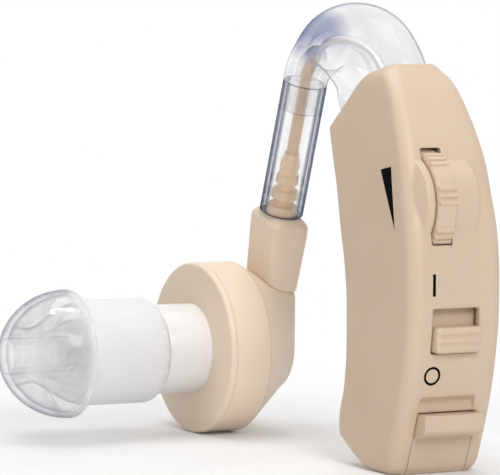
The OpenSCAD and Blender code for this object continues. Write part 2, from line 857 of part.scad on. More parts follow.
module diaphragm() {
    color("lightgray") union() {
        bar_x(film_x, film_x + film_t, drum_y, drum_r, basket_r);
    }
}

// Nozzle: a flanged tube with a thinner spigot that carries the ear tip
module nozzle() {
    color("white") difference() {
        union() {
            bar_x(tip_end_x, drum_front_x, drum_y, drum_r, nozzle_r);
            bar_x(drum_front_x - overrun, drum_front_x + cap_t - seat_gap, drum_y, drum_r,
                nozzle_flange_r);
            bar_x(tip_end_x - spigot_tip_l, tip_end_x + overrun, drum_y, drum_r, spigot_tip_r);
        }
        bar_x(tip_end_x - spigot_tip_l - overrun, drum_front_x + cap_t + overrun, drum_y, drum_r,
            sound_r);
    }
}

screen_t = 0.3;
screen_holes = 6;
screen_hole_r = 0.35;
module wax_screen() {
    x0 = tip_end_x - spigot_tip_l + screen_t;
    color("silver") difference() {
        bar_x(x0, x0 + screen_t, drum_y, drum_r, sound_r - seat_gap);
        for (k = [0:screen_holes - 1])
            bar_x(x0 - overrun, x0 + screen_t + overrun,
                drum_y + sound_r * 0.6 * cos(360 * k / screen_holes),
                drum_r + sound_r * 0.6 * sin(360 * k / screen_holes), screen_hole_r);
        bar_x(x0 - overrun, x0 + screen_t + overrun, drum_y, drum_r, screen_hole_r);
    }
}

// Ear tip: half outline of stem and dome, as radius against distance from the
// stem's end, turned about the drum's axis
dome_points = 10;
neck_share = 0.62;
inner_tube_r = 2.9;
function dome_arc(r, l) = [for (k = [0:dome_points]) let (t = 90 * k / dome_points)
    [r * cos(t), stem_l + l * sin(t)]];
function reversed(rows) = [for (k = [len(rows) - 1:-1:0]) rows[k]];
function tip_profile() = concat(
    [[spigot_tip_r + running, 0]],
    [for (k = [0:4]) let (t = -90 + 90 * k / 4)
        [stem_r - shoulder_r + shoulder_r * cos(t), shoulder_r + shoulder_r * sin(t)]],
    [[stem_r, stem_l * 0.75],
        [stem_r * 0.93, stem_l],
        [inner_tube_r * 1.15, stem_l + dome_l * neck_share * 0.75],
        [inner_tube_r, stem_l + dome_l * neck_share]],
    reversed([for (p = dome_arc(dome_r - dome_wall, dome_l - dome_wall * 1.6))
        if (p[0] > inner_tube_r) p]),
    [for (p = dome_arc(dome_r, dome_l)) if (p[0] > tip_mouth_r + dome_wall / 2) p],
    [[tip_mouth_r, stem_l + dome_l * 0.955],
        [tip_mouth_r, spigot_tip_l + parting],
        [spigot_tip_r + running, spigot_tip_l + parting]]);

module ear_tip() {
    color([0.9, 0.92, 0.97, 0.6]) translate([tip_end_x, drum_y, drum_r]) rotate([0, -90, 0])
        rotate_extrude($fn = fine) polygon(tip_profile());
}

main_shell();
side_cover();
volume_wheel();
wheel_screw();
volume_potentiometer();
circuit_board();
amplifier_chip();
capacitors();
microphone();
microphone_boot();
switch_knob();
switch_body();
battery_door();
hinge_pin();
button_cell();
positive_contact();
negative_contact();
ear_hook();
hook_pin();
clear_sleeve();
receiver_cable();
strain_relief_boot();
neck_block();
receiver_rear_housing();
receiver_drum();
receiver_front_cap();
driver_yoke();
driver_magnet();
pole_plate();
voice_coil();
diaphragm();
nozzle();
wax_screen();
ear_tip();
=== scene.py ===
"""Behind-the-ear hearing aid: the looks that dress the CAD model.

Shapes are worked out in millimetres, in the frame's own axes, and turned into metres
when a piece is made. -Y is the convex back of the case, +Y its front and the hook's
side, +X runs across it, +Z is up.
"""

import math

import bmesh
import bpy
from mathutils import Matrix, Vector


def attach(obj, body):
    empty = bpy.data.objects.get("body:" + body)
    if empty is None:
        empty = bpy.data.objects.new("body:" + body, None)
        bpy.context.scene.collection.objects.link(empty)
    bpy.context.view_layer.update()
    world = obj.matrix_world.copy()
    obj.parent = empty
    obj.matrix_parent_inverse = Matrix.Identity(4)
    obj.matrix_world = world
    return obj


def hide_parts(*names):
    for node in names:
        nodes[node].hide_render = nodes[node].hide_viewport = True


MM = 0.001
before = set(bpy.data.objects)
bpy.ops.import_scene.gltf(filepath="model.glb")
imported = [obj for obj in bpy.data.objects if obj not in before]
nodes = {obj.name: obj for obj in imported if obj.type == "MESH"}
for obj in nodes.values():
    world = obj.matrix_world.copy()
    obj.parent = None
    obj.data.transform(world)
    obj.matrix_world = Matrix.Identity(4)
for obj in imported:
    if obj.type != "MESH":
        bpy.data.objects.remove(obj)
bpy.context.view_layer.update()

# Sizes, in mm
CASE_W, CASE_H, CASE_D = 10.8, 40.7, 12.5
WALL = 0.9
BACK_R, FRONT_R = 1.4, 0.4
WHEEL_X, WHEEL_Z, WHEEL_R, WHEEL_W, WHEEL_SINK = -1.73, 27.0, 5.4, 2.2, 3.5
RIB_H, RIB_HALF, RIB_GROUPS, RIB_START, RIB_STEP = 0.2, 0.2, 8, -12, 7.5
GUARD_R, GUARD_LEFT, GUARD_RIGHT, GUARD_CHAMFER = 4.95, -3.78, 2.3, 0.6
KNOB_W, KNOB_H, KNOB_TRAVEL, KNOB_OUT = 5.2, 2.6, 1.7, 1.1
SWITCH_X, SLOT_Z = -0.2, 12.4
# Gaps at parting lines, round fitted seats and round loose fits
GAP, SEAT, LOOSE = 0.1, 0.02, 0.05
COVER_LOW, COVER_HIGH, COVER_EDGE = 12.8, 30.6, 2
PIN_BORE_R, KNUCKLE_BORE_R, HOOK_PIN_BORE_R, DISC_ROOM_R = 0.42, 0.45, 0.47, 4.05
CELL_R, CELL_T, CELL_Y, CELL_Z = 3.95, 5.4, 1.5, 5.9
DOOR_HALF, DOOR_TOP, TRAY_TOP = 3.4, 6.3, 7.4
PIN_Y, PIN_Z, KNUCKLE_R = 6.7, 3.4, 0.92
RIDGE_OUT, RIDGE_H, RIDGE_SLANT = 1.4, 1.35, 32
NAIL_R = 0.95
BAY_ROOF = 10.3
SLEEVE_FOOT, SLEEVE_LEAN, SLEEVE_L = (29.96, 23.91), math.radians(18.6), 15.0
SLEEVE_R, SLEEVE_WALL, SPIGOT_L = 2.35, 0.5, 3.3
CABLE_R = 0.65
DRUM_Y, DRUM_R, DRUM_FRONT, DRUM_T, CAP_T = 34.94, 9.17, -8.05, 4.75, 0.7
REAR_T, REAR_R, REAR_TOP = 5.4, 4.95, 15.3
NOZZLE_R, NOZZLE_L, NOZZLE_SEAT_R = 4.78, 5.0, 4.4
STEM_R, STEM_L, DOME_R, DOME_L, DOME_WALL = 5.6, 9.8, 6.8, 7.5, 0.55

# Case profile: level, back, front and half width, as shares of the case's
# height, depth unit and half width
PROFILE_SHARES = (
    (0, -0.11, 0.2, 0.88),
    (0.01, -0.14, 0.3, 0.95),
    (0.025, -0.16, 0.395, 0.985),
    (0.047, -0.184, 0.509, 1),
    (0.08, -0.222, 0.666, 1),
    (0.115, -0.26, 0.672, 1),
    (0.19, -0.334, 0.608, 1),
    (0.29, -0.4, 0.577, 1),
    (0.4, -0.436, 0.585, 1),
    (0.49, -0.432, 0.621, 1),
    (0.59, -0.396, 0.703, 0.995),
    (0.69, -0.312, 0.795, 0.965),
    (0.76, -0.248, 0.882, 0.935),
    (0.835, -0.14, 0.989, 0.875),
    (0.895, -0.03, 0.8, 0.81),
    (0.945, 0.09, 0.65, 0.75),
    (0.972, 0.18, 0.55, 0.68),
    (0.99, 0.245, 0.4, 0.55),
    (1, 0.27, 0.33, 0.4),
)
LIP_SHARE = 0.835


# Small maths
def smooth_at(table, x, column):
    """Value of a column at x, on a smooth curve through the table's rows."""
    rows = len(table)
    k = 0
    while k < rows - 2 and x > table[k + 1][0]:
        k += 1
    x0, x1 = table[k][0], table[k + 1][0]
    y0, y1 = table[k][column], table[k + 1][column]

    def slope(i):
        if i in (0, rows - 1):
            j = min(i, rows - 2)
            return (table[j + 1][column] - table[j][column]) / (
                table[j + 1][0] - table[j][0]
            )
        left = (table[i][column] - table[i - 1][column]) / (
            table[i][0] - table[i - 1][0]
        )
        right = (table[i + 1][column] - table[i][column]) / (
            table[i + 1][0] - table[i][0]
        )
        return 0 if left * right <= 0 else 2 * left * right / (left + right)

    h = x1 - x0
    t = min(max((x - x0) / h, 0), 1)
    a, b = slope(k) * h, slope(k + 1) * h
    return (
        (2 * t**3 - 3 * t**2 + 1) * y0
        + (t**3 - 2 * t**2 + t) * a
        + (3 * t**2 - 2 * t**3) * y1
        + (t**3 - t**2) * b
    )


def back_y(z):
    return CASE_D * smooth_at(PROFILE_SHARES, z / CASE_H, 1)


def front_y(z):
    share = z / CASE_H
    if share > LIP_SHARE:
        upper = [row for row in PROFILE_SHARES if row[0] >= LIP_SHARE]
        return CASE_D * smooth_at(upper, share, 2)
    lower = [row for row in PROFILE_SHARES if row[0] <= LIP_SHARE]
    return CASE_D * smooth_at(lower, share, 2)


def half_w(z):
    return CASE_W / 2 * smooth_at(PROFILE_SHARES, z / CASE_H, 3)


# Mesh building
def solid(name, points, faces):
    mesh = bpy.data.meshes.new(name)
    mesh.from_pydata([tuple(p) for p in points], [], faces)
    mesh.validate()
    mesh.update()
    made = bpy.data.objects.new(name, mesh)
    bpy.context.scene.collection.objects.link(made)
    return made


def loft(name, rings, closed=False):
    """Skin over rings of equal length, capped at both ends unless it closes on itself."""
    n = len(rings[0])
    points = [p for ring in rings for p in ring]
    pairs = list(zip(range(len(rings) - 1), range(1, len(rings))))
    if closed:
        pairs.append((len(rings) - 1, 0))
    faces = [
        (a * n + i, a * n + (i + 1) % n, b * n + (i + 1) % n, b * n + i)
        for a, b in pairs
        for i in range(n)
    ]
    if not closed:
        faces.append(tuple(range(n - 1, -1, -1)))
        faces.append(tuple((len(rings) - 1) * n + i for i in range(n)))
    return solid(name, points, faces)


def turned(name, outline, centre, along, sides=96):
    """Outline of (distance along the axis, radius), closed on itself, turned about it."""
    along = Vector(along).normalized()
    across = Vector((0, 0, 1)) if abs(along.z) < 0.9 else Vector((1, 0, 0))
    first = along.cross(across).normalized()
    second = along.cross(first)
    centre = Vector(centre)
    rings = []
    for k in range(sides):
        t = 2 * math.pi * k / sides
        out = first * math.cos(t) + second * math.sin(t)
        rings.append([centre + along * d + out * r for d, r in outline])
    made = loft(name, rings, closed=True)
    tidy(made)
    return made


def tidy(made):
    """Joins points that share a place and turns every face outwards."""
    work = bmesh.new()
    work.from_mesh(made.data)
    bmesh.ops.remove_doubles(work, verts=work.verts, dist=1e-4)
    bmesh.ops.recalc_face_normals(work, faces=work.faces)
    work.to_mesh(made.data)
    work.free()
    made.data.update()


def box(low, high):
    x, y, z = zip(low, high)
    points = [(i, j, k) for i in x for j in y for k in z]
    faces = [
        (0, 1, 3, 2),
        (4, 6, 7, 5),
        (0, 4, 5, 1),
        (2, 3, 7, 6),
        (0, 2, 6, 4),
        (1, 5, 7, 3),
    ]
    return solid("cutter", points, faces)


def circle(y, z, r, sides=96):
    turns = [2 * math.pi * i / sides for i in range(sides)]
    return [(y + r * math.cos(t), z + r * math.sin(t)) for t in turns]


def bar_x(x0, x1, y, z, r, sides=96):
    made = loft("cutter", [[(x, *p) for p in circle(y, z, r, sides)] for x in (x0, x1)])
    tidy(made)
    return made


def slab_x(x0, x1, outline):
    made = loft("cutter", [[(x, y, z) for y, z in outline] for x in (x0, x1)])
    tidy(made)
    return made


def settle(made):
    """Turns the object's modifiers into its mesh."""
    graph = bpy.context.evaluated_depsgraph_get()
    mesh = bpy.data.meshes.new_from_object(made.evaluated_get(graph))
    made.modifiers.clear()
    old = made.data
    made.data = mesh
    bpy.data.meshes.remove(old)
    return made


def combine(made, other, operation):
    step = made.modifiers.new("step", "BOOLEAN")
    step.operation = operation
    step.solver = "EXACT"
    step.object = other
    settle(made)
    bpy.data.objects.remove(other)
    return made


def cut(made, *others):
    for other in others:
        combine(made, other, "DIFFERENCE")
    return made


def join(made, *others):
    for other in others:
        combine(made, other, "UNION")
    return made


def soften(made, voxel, rounds=3):
    """Rounds every edge a little, as a moulded part has them."""
    remesh = made.modifiers.new("remesh", "REMESH")
    remesh.mode = "VOXEL"
    remesh.voxel_size = voxel
    settle(made)
    smooth = made.modifiers.new("smooth", "SMOOTH")
    smooth.factor = 0.5
    smooth.iterations = rounds
    return settle(made)


def bevelled(made, width, steps=2, angle=35):
    edge = made.modifiers.new("edge", "BEVEL")
    edge.width = width
    edge.segments = steps
    edge.limit_method = "ANGLE"
    edge.angle_limit = math.radians(angle)
    edge.harden_normals = False
    return settle(made)


def shade(made, angle=35):
    """Smooth shading, with the edges sharper than the angle kept."""
    made.data.polygons.foreach_set("use_smooth", [True] * len(made.data.polygons))
    made.data.set_sharp_from_angle(angle=math.radians(angle))
    made.data.update()


def piece(made, name, body, material, slot, replaced=(), angle=40):
    """Finishes a piece: metres, shading, material, body and what it stands for; its slot is
    not used.
    """
    made.name = name
    made.data.name = name
    made.data.transform(Matrix.Scale(MM, 4))
    shade(made, angle)
    made.data.materials.clear()
    made.data.materials.append(material)
    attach(made, body)
    if replaced:
        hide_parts(*replaced)
    return made


# Materials
WHITE = (1, 1, 1)


def feed(tree, node, inputs):
    """Sets each input to a value, or links it from a socket."""
    for key, value in inputs.items():
        if isinstance(value, bpy.types.NodeSocket):
            tree.links.new(value, node.inputs[key])
        else:
            node.inputs[key].default_value = value


def add(tree, kind, inputs=None, **options):
    made = tree.nodes.new("ShaderNode" + kind)
    for key, value in options.items():
        setattr(made, key, value)
    feed(tree, made, inputs or {})
    return made


def show(tree, surface):
    out = next(n for n in tree.nodes if n.type == "OUTPUT_MATERIAL")
    tree.links.new(surface, out.inputs["Surface"])


def node_material(name):
    material = bpy.data.materials.new(name)
    material.use_nodes = True
    tree = material.node_tree
    tree.nodes.clear()
    add(tree, "OutputMaterial")
    shader = add(tree, "BsdfPrincipled")
    show(tree, shader.outputs["BSDF"])
    return material, tree, shader


def place_in(tree, space="Object"):
    return add(tree, "TexCoord").outputs[space]


def along_axis(tree, axis):
    return add(tree, "SeparateXYZ", {"Vector": place_in(tree)}).outputs[axis]


def noise(tree, scale, detail=3.0, rough=0.5, vector=None):
    values = {"Scale": scale, "Detail": detail, "Roughness": rough}
    values["Vector"] = vector or place_in(tree)
    return add(tree, "TexNoise", values).outputs["Fac"]


def ramp(tree, source, low, high, start=0.3, end=0.7):
    """Colour that runs from low to high as the source goes from start to end."""
    made = add(tree, "ValToRGB", {"Fac": source})
    for element, place, colour in zip(made.color_ramp.elements, (start, end), (low, high)):
        element.position = place
        element.color = (*colour, 1)
    return made.outputs["Color"]


def spread(tree, source, low, high, start=0, end=1, curve="LINEAR"):
    """Value that runs from low to high as the source goes from start to end."""
    values = {"From Min": start, "From Max": end, "To Min": low, "To Max": high}
    made = add(tree, "MapRange", {"Value": source, **values}, interpolation_type=curve)
    return made.outputs["Result"]


def bump(tree, source, strength, distance):
    values = {"Height": source, "Strength": strength, "Distance": distance}
    return add(tree, "Bump", values).outputs["Normal"]


def worked(tree, kind, operation, a, b):
    return add(tree, kind, {0: a, 1: b}, operation=operation).outputs["Value"]


def mixed(tree, share, a, b):
    """Shader a, with a share of shader b."""
    return add(tree, "MixShader", {0: share, 1: a, 2: b}).outputs["Shader"]


def tinted(tree, share, a, b, blend="MIX"):
    values = {"Fac": share, "Color1": a, "Color2": b}
    return add(tree, "MixRGB", values, blend_type=blend).outputs["Color"]


FLOW_SCALE, GRAIN_SCALE, GRAIN_DEPTH = 140, 5200, 0.00002
GLOW_RADIUS, GLOW_SCALE = (1.0, 0.55, 0.35), 0.0009


def moulded(name, light, dark, rough, glow, grain=0.35, coat=0.0):
    """Moulded plastic: faint flow marks in the colour, and a fine satin grain."""
    material, tree, shader = node_material(name)
    flow = noise(tree, FLOW_SCALE, 4)
    fine = noise(tree, GRAIN_SCALE, 3, 0.6)
    look = {
        "Base Color": ramp(tree, flow, dark, light, 0.25, 0.6),
        "Roughness": spread(tree, fine, rough * 0.85, rough * 1.15),
        "Normal": bump(tree, fine, grain, GRAIN_DEPTH),
        "Subsurface Weight": glow,
        "Subsurface Radius": GLOW_RADIUS,
        "Subsurface Scale": GLOW_SCALE,
        "Coat Weight": coat,
        "Coat Roughness": 0.3,
    }
    feed(tree, shader, look)
    return material


def pale_before(material, colour, y, fade=0.3):
    """Another colour on the bare cores, which end where the jacket starts."""
    tree = material.node_tree
    shader = next(n for n in tree.nodes if n.type == "BSDF_PRINCIPLED")
    jacket = shader.inputs["Base Color"].links[0].from_socket
    share = spread(tree, along_axis(tree, "Y"), 0, 1, (y - fade) * MM, y * MM)
    feed(tree, shader, {"Base Color": tinted(tree, share, (*colour, 1), jacket)})


# Painted reflection of a blue light in the hook's bend, a blue-grey patch: its colour, its
# middle, and how it fades
PAINTED_REFLECTION_COLOUR = (0.16, 0.2, 0.42)
PAINTED_REFLECTION_PLACE = (0, 23, 43.6)
PAINTED_REFLECTION_FROM, PAINTED_REFLECTION_TO = 1.6, 3.9


# Painted reflection: multiplies a colour by a blue-grey patch that fades out round one
# place in the hook's bend
def painted_reflection(tree, colour):
    centre = [v * MM for v in PAINTED_REFLECTION_PLACE]
    apart = worked(tree, "VectorMath", "DISTANCE", place_in(tree), centre)
    near = spread(tree, apart, 0, 1, PAINTED_REFLECTION_FROM * MM, PAINTED_REFLECTION_TO * MM)
    reflection_tint = ramp(tree, near, PAINTED_REFLECTION_COLOUR, WHITE, 0, 1)
    return tinted(tree, 1, colour, reflection_tint, "MULTIPLY")


def see_through(tree, surface, share, edge, edge_start, with_painted_reflection=False):
    """Lets part of the light straight through, less and cooler at the wall's edges, where
    the darker blue-grey tone is painted shade for the dark room seen through the edges.
    """
    view = add(tree, "LayerWeight", {"Blend": 0.5})
    tone = ramp(tree, view.outputs["Facing"], WHITE, edge, edge_start, edge_start + 0.25)
    # With the flag, the light let through also carries the painted reflection in the hook's
    # bend
    plain = add(tree, "BsdfTransparent", {"Color": painted_reflection(tree, tone) if with_painted_reflection else tone})
    show(tree, mixed(tree, share, surface, plain.outputs["BSDF"]))


WAVE_SCALE, WAVE_DEPTH = 260, 0.0003


def clear(name, tint, milk, through, edge, edge_start, with_painted_reflection=False, rough=0.03):
    """Clear flexible plastic, with faint waves from moulding."""
    material, tree, shader = node_material(name)
    waves = noise(tree, WAVE_SCALE, 2)
    tone = ramp(tree, waves, tint, WHITE, 0.2, 0.8)
    look = {
        # With the flag, the base colour carries the painted reflection in the hook's bend
        "Base Color": painted_reflection(tree, tone) if with_painted_reflection else tone,
        "Roughness": spread(tree, waves, rough * 0.6, rough * 1.5),
        "Normal": bump(tree, waves, 0.12, WAVE_DEPTH),
        "Transmission Weight": 1 - milk,
        "IOR": 1.47,
    }
    feed(tree, shader, look)
    see_through(tree, shader.outputs["BSDF"], through, edge, edge_start, with_painted_reflection)
    return material


def metal(name, light, dark, rough, stretch=(1, 1, 1), scale=3000):
    """Metal with fine tool marks."""
    material, tree, shader = node_material(name)
    lay = add(tree, "Mapping", {"Vector": place_in(tree), "Scale": stretch})
    marks = noise(tree, scale, 3, vector=lay.outputs["Vector"])
    look = {
        "Base Color": ramp(tree, marks, dark, light),
        "Roughness": spread(tree, marks, rough * 0.7, rough * 1.3),
        "Normal": bump(tree, marks, 0.2, 0.00001),
        "Metallic": 1.0,
    }
    feed(tree, shader, look)
    return material


CASE_PLASTIC = moulded("case_plastic", (0.66, 0.52, 0.39), (0.63, 0.49, 0.365), 0.42, 0.1)
RECEIVER_PLASTIC = moulded(
    "receiver_plastic", (0.83, 0.69, 0.55), (0.8, 0.66, 0.52), 0.4, 0.1
)
CABLE_PLASTIC = moulded("cable_plastic", (0.76, 0.58, 0.41), (0.7, 0.53, 0.37), 0.45, 0.1)
BOOT_PLASTIC = moulded("boot_plastic", (0.92, 0.71, 0.5), (0.86, 0.65, 0.44), 0.4, 0)
WHITE_PLASTIC = moulded("white_plastic", (0.8, 0.79, 0.785), (0.77, 0.76, 0.76), 0.3, 0.1)
DARK_PLASTIC = moulded("dark_plastic", (0.03, 0.03, 0.032), (0.02, 0.02, 0.022), 0.5, 0.0)
INK = moulded("mark_ink", (0.004, 0.004, 0.004), (0.002, 0.002, 0.003), 0.8, 0.0, 0.5)
INK.node_tree.nodes["Principled BSDF"].inputs["Specular IOR Level"].default_value = 0.05
RUBBER = moulded("black_rubber", (0.02, 0.02, 0.02), (0.012, 0.012, 0.012), 0.75, 0.0, 0.6)
BOARD = moulded("board_mask", (0.02, 0.13, 0.06), (0.015, 0.1, 0.045), 0.35, 0.0, 0.2, 0.4)
CAPACITOR = moulded("capacitor_sleeve", (0.03, 0.035, 0.11), (0.02, 0.025, 0.08), 0.3, 0.0)
FILM = moulded("driver_film", (0.7, 0.72, 0.76), (0.62, 0.65, 0.7), 0.2, 0.0, 0.2)
STEEL = metal("turned_steel", (0.72, 0.73, 0.75), (0.6, 0.61, 0.63), 0.28, (8, 1, 1))
NICKEL = metal("nickel_plate", (0.82, 0.82, 0.8), (0.74, 0.74, 0.72), 0.18)
DARK_STEEL = metal("plated_yoke", (0.32, 0.33, 0.35), (0.24, 0.25, 0.27), 0.35)
BRASS = metal("gold_flash", (0.85, 0.66, 0.3), (0.75, 0.56, 0.24), 0.25)
COPPER = metal(
    "enamelled_wire", (0.72, 0.36, 0.16), (0.5, 0.22, 0.09), 0.3, (30, 1, 1), 6000
)
# The edge colours given to the clear plastics are painted shade at the walls' edges
CLEAR_HOOK = clear(
    "clear_hook_plastic", (0.97, 0.98, 1), 0.03, 0.72, (0.2, 0.23, 0.36), 0.72, with_painted_reflection=True
)
CLEAR_SLEEVE = clear(
    "clear_sleeve_plastic", (0.88, 0.91, 0.97), 0.02, 0.84, (0.2, 0.25, 0.34), 0.37
)


def silicone(name, rim_x):
    """Soft silicone: clear in the dome, more milky down the stem."""
    material, tree, shader = node_material(name)
    low, high = (rim_x - 1.2) * MM, (rim_x + 1.0) * MM
    stem = spread(tree, along_axis(tree, "X"), 0, 1, low, high, "SMOOTHSTEP")
    cloud = noise(tree, 160, 2)
    rough, uneven = spread(tree, stem, 0.05, 0.28), spread(tree, cloud, 0.9, 1.1)
    look = {
        "Base Color": ramp(tree, cloud, (0.98, 0.985, 0.99), WHITE, 0.2, 0.8),
        "Roughness": worked(tree, "Math", "MULTIPLY", rough, uneven),
        "Transmission Weight": 1.0,
        "IOR": 1.41,
    }
    feed(tree, shader, look)
    milk = add(tree, "BsdfTranslucent", {"Color": (*WHITE, 1)})
    white = add(tree, "BsdfDiffuse", {"Color": (0.99, 0.99, 1, 1)})
    body = mixed(tree, 0.85, milk.outputs["BSDF"], white.outputs["BSDF"])
    surface = mixed(tree, spread(tree, stem, 0.12, 0.8), shader.outputs["BSDF"], body)
    # Painted shade: the light let through turns darker and bluer at the walls' edges
    see_through(tree, surface, spread(tree, stem, 0.68, 0.08), (0.4, 0.44, 0.52), 0.6)
    return material


# The case
def corner(cx, cy, r, start, steps=8):
    turns = [math.radians(start + 90 * i / steps) for i in range(steps + 1)]
    return [(cx + r * math.cos(t), cy + r * math.sin(t)) for t in turns]


def rounded(half, back, front, back_r, front_r):
    """Rectangle about x = 0 with rounded corners, as (x, y)."""
    return (
        corner(half - front_r, front - front_r, front_r, 0)
        + corner(-half + front_r, front - front_r, front_r, 90)
        + corner(-half + back_r, back + back_r, back_r, 180)
        + corner(half - back_r, back + back_r, back_r, 270)
    )


def case_ring(z, inset=0.0, open_front=0.0):
    hw = half_w(z) - inset
    yb = back_y(z) + inset
    yf = front_y(z) + (open_front if open_front else -inset)
    room = min(hw, (yf - yb) / 2) * 0.96
    rb = min(max(BACK_R - inset, BACK_R / 3), room)
    rf = min(max(FRONT_R - inset, FRONT_R / 3), room)
    return [(x, y, z) for x, y in rounded(hw, yb, yf, rb, rf)]


def case_levels(low, high, step=0.6):
    count = max(2, round((high - low) / step))
    return [low + (high - low) * i / count for i in range(count + 1)]


LIP_Z = LIP_SHARE * CASE_H
OUTER_LEVELS = (
    case_levels(0, LIP_Z) + case_levels(LIP_Z, CASE_H * 0.99, 0.3)[1:] + [CASE_H]
)


def case_outer():
    return loft("case", [case_ring(z) for z in OUTER_LEVELS])


def case_cavity():
    low, high = BAY_ROOF + WALL, CASE_H - WALL * 0.6
    rings = [case_ring(z, WALL) for z in case_levels(low, LIP_Z)]
    rings += [case_ring(z, WALL, 1.0) for z in case_levels(LIP_Z + 0.02, high, 0.4)]
    return loft("cavity", rings)


def side_outline(low, high, edge, steps=18):
    rise = [low + (high - low) * i / steps for i in range(steps + 1)]
    return [(back_y(z) + edge, z) for z in rise] + [
        (front_y(z) - edge, z) for z in reversed(rise)
    ]


WHEEL_Y = CASE_D * (-0.396 + 0.084 * (WHEEL_Z / CASE_H - 0.59) / 0.1) + WHEEL_SINK
SLOT_H, SLOT_W = KNOB_H + KNOB_TRAVEL + 2 * GAP, KNOB_W + 2 * GAP
PLATE_T, PLATE_LAP = 0.4, 0.4
PLATE_LOW = SLOT_Z + GAP - KNOB_TRAVEL - PLATE_LAP
PLATE_HIGH = SLOT_Z + SLOT_H + PLATE_LAP
PLATE_W = SLOT_W + 2 * PLATE_LAP
PLATE_Y = back_y(PLATE_LOW) + WALL + PLATE_T / 2
FAR = 20.0


def bay_outline():
    deep = back_y(DOOR_TOP)
    return [
        (deep - FAR, -1),
        (deep - FAR, DOOR_TOP + GAP),
        (deep + WALL, DOOR_TOP + GAP),
        (back_y(BAY_ROOF) + WALL, BAY_ROOF),
        (front_y(BAY_ROOF) - WALL, BAY_ROOF),
        (front_y(TRAY_TOP) - WALL, TRAY_TOP),
        (PIN_Y + KNUCKLE_R + GAP, PIN_Z + KNUCKLE_R),
        (PIN_Y + KNUCKLE_R + GAP, PIN_Z - GAP),
        (front_y(PIN_Z) + 1, PIN_Z - GAP),
        (front_y(PIN_Z) + 1, -1),
    ]


def guard():
    """Raised guard round the wheel: a disc whose left edge is drawn in, softly rounded."""
    soft = 0.28
    arc = [
        (
            GUARD_RIGHT - soft + soft * math.sin(math.radians(a)),
            GUARD_R - soft + soft * math.cos(math.radians(a)),
        )
        for a in range(0, 91, 15)
    ]
    outline = [(GUARD_LEFT - GUARD_CHAMFER, WHEEL_SINK)]
    outline += [(GUARD_LEFT, GUARD_R - 0.06), (GUARD_LEFT + 0.12, GUARD_R), *arc]
    rings = [[(x, *p) for p in circle(WHEEL_Y, WHEEL_Z, r)] for x, r in outline]
    made = loft("guard", rings)
    tidy(made)
    return made


def make_shell():
    shell = case_outer()
    tidy(shell)
    join(shell, guard())
    cavity = case_cavity()
    tidy(cavity)
    slot = box(
        (SWITCH_X - SLOT_W / 2, back_y(SLOT_Z) - FAR, SLOT_Z),
        (SWITCH_X + SLOT_W / 2, PLATE_Y, SLOT_Z + SLOT_H),
    )
    pocket = box(
        (SWITCH_X - PLATE_W / 2 - GAP, PLATE_Y - PLATE_T - GAP, PLATE_LOW - GAP),
        (SWITCH_X + PLATE_W / 2 + GAP, PLATE_Y + WALL, PLATE_HIGH + KNOB_TRAVEL + GAP),
    )
    window = side_outline(COVER_LOW, COVER_HIGH, COVER_EDGE)
    seat = [(y, z, d + LOOSE, w + LOOSE) for y, z, d, w in HOOK_ROWS[:SEATED_ROWS]]
    cut(
        shell,
        cavity,
        bar_x(
            WHEEL_X - WHEEL_W / 2 - GAP,
            WHEEL_X + WHEEL_W / 2 + GAP,
            WHEEL_Y,
            WHEEL_Z,
            WHEEL_R + RIB_H + 2 * GAP,
        ),
        bar_x(WHEEL_X, GUARD_RIGHT - WALL, WHEEL_Y, WHEEL_Z, DISC_ROOM_R),
        slot,
        pocket,
        slab_x(-DOOR_HALF - LOOSE, DOOR_HALF + LOOSE, bay_outline()),
        bar_x(
            -DOOR_HALF,
            DOOR_HALF - NAIL_R / 2,
            back_y(DOOR_TOP + NAIL_R / 2) - NAIL_R / 2,
            DOOR_TOP + NAIL_R * 0.8,
            NAIL_R,
        ),
        slab_x(CASE_W / 2 - WALL - 1, CASE_W, window),
        bar_x(-(CASE_W - WALL) / 2 - SEAT, CASE_W, PIN_Y, PIN_Z, PIN_BORE_R, sides=32),
        bar_x(-HOOK_PIN_HALF - SEAT, CASE_W, *HOOK_PIN, HOOK_PIN_BORE_R, sides=32),
        tube_along("seat", seat, 64),
    )
    soften(shell, voxel=0.13)
    return piece(
        shell, "case_shell", "root", CASE_PLASTIC, "case", ("main_shell",), angle=60
    )


def make_cover():
    cover = case_outer()
    tidy(cover)
    outline = side_outline(COVER_LOW + GAP, COVER_HIGH - GAP, COVER_EDGE + GAP)
    combine(cover, slab_x(CASE_W / 2 - WALL, CASE_W, outline), "INTERSECT")
    bevelled(cover, width=0.08)
    return piece(cover, "side_panel", "root", CASE_PLASTIC, "case", ("side_cover",))


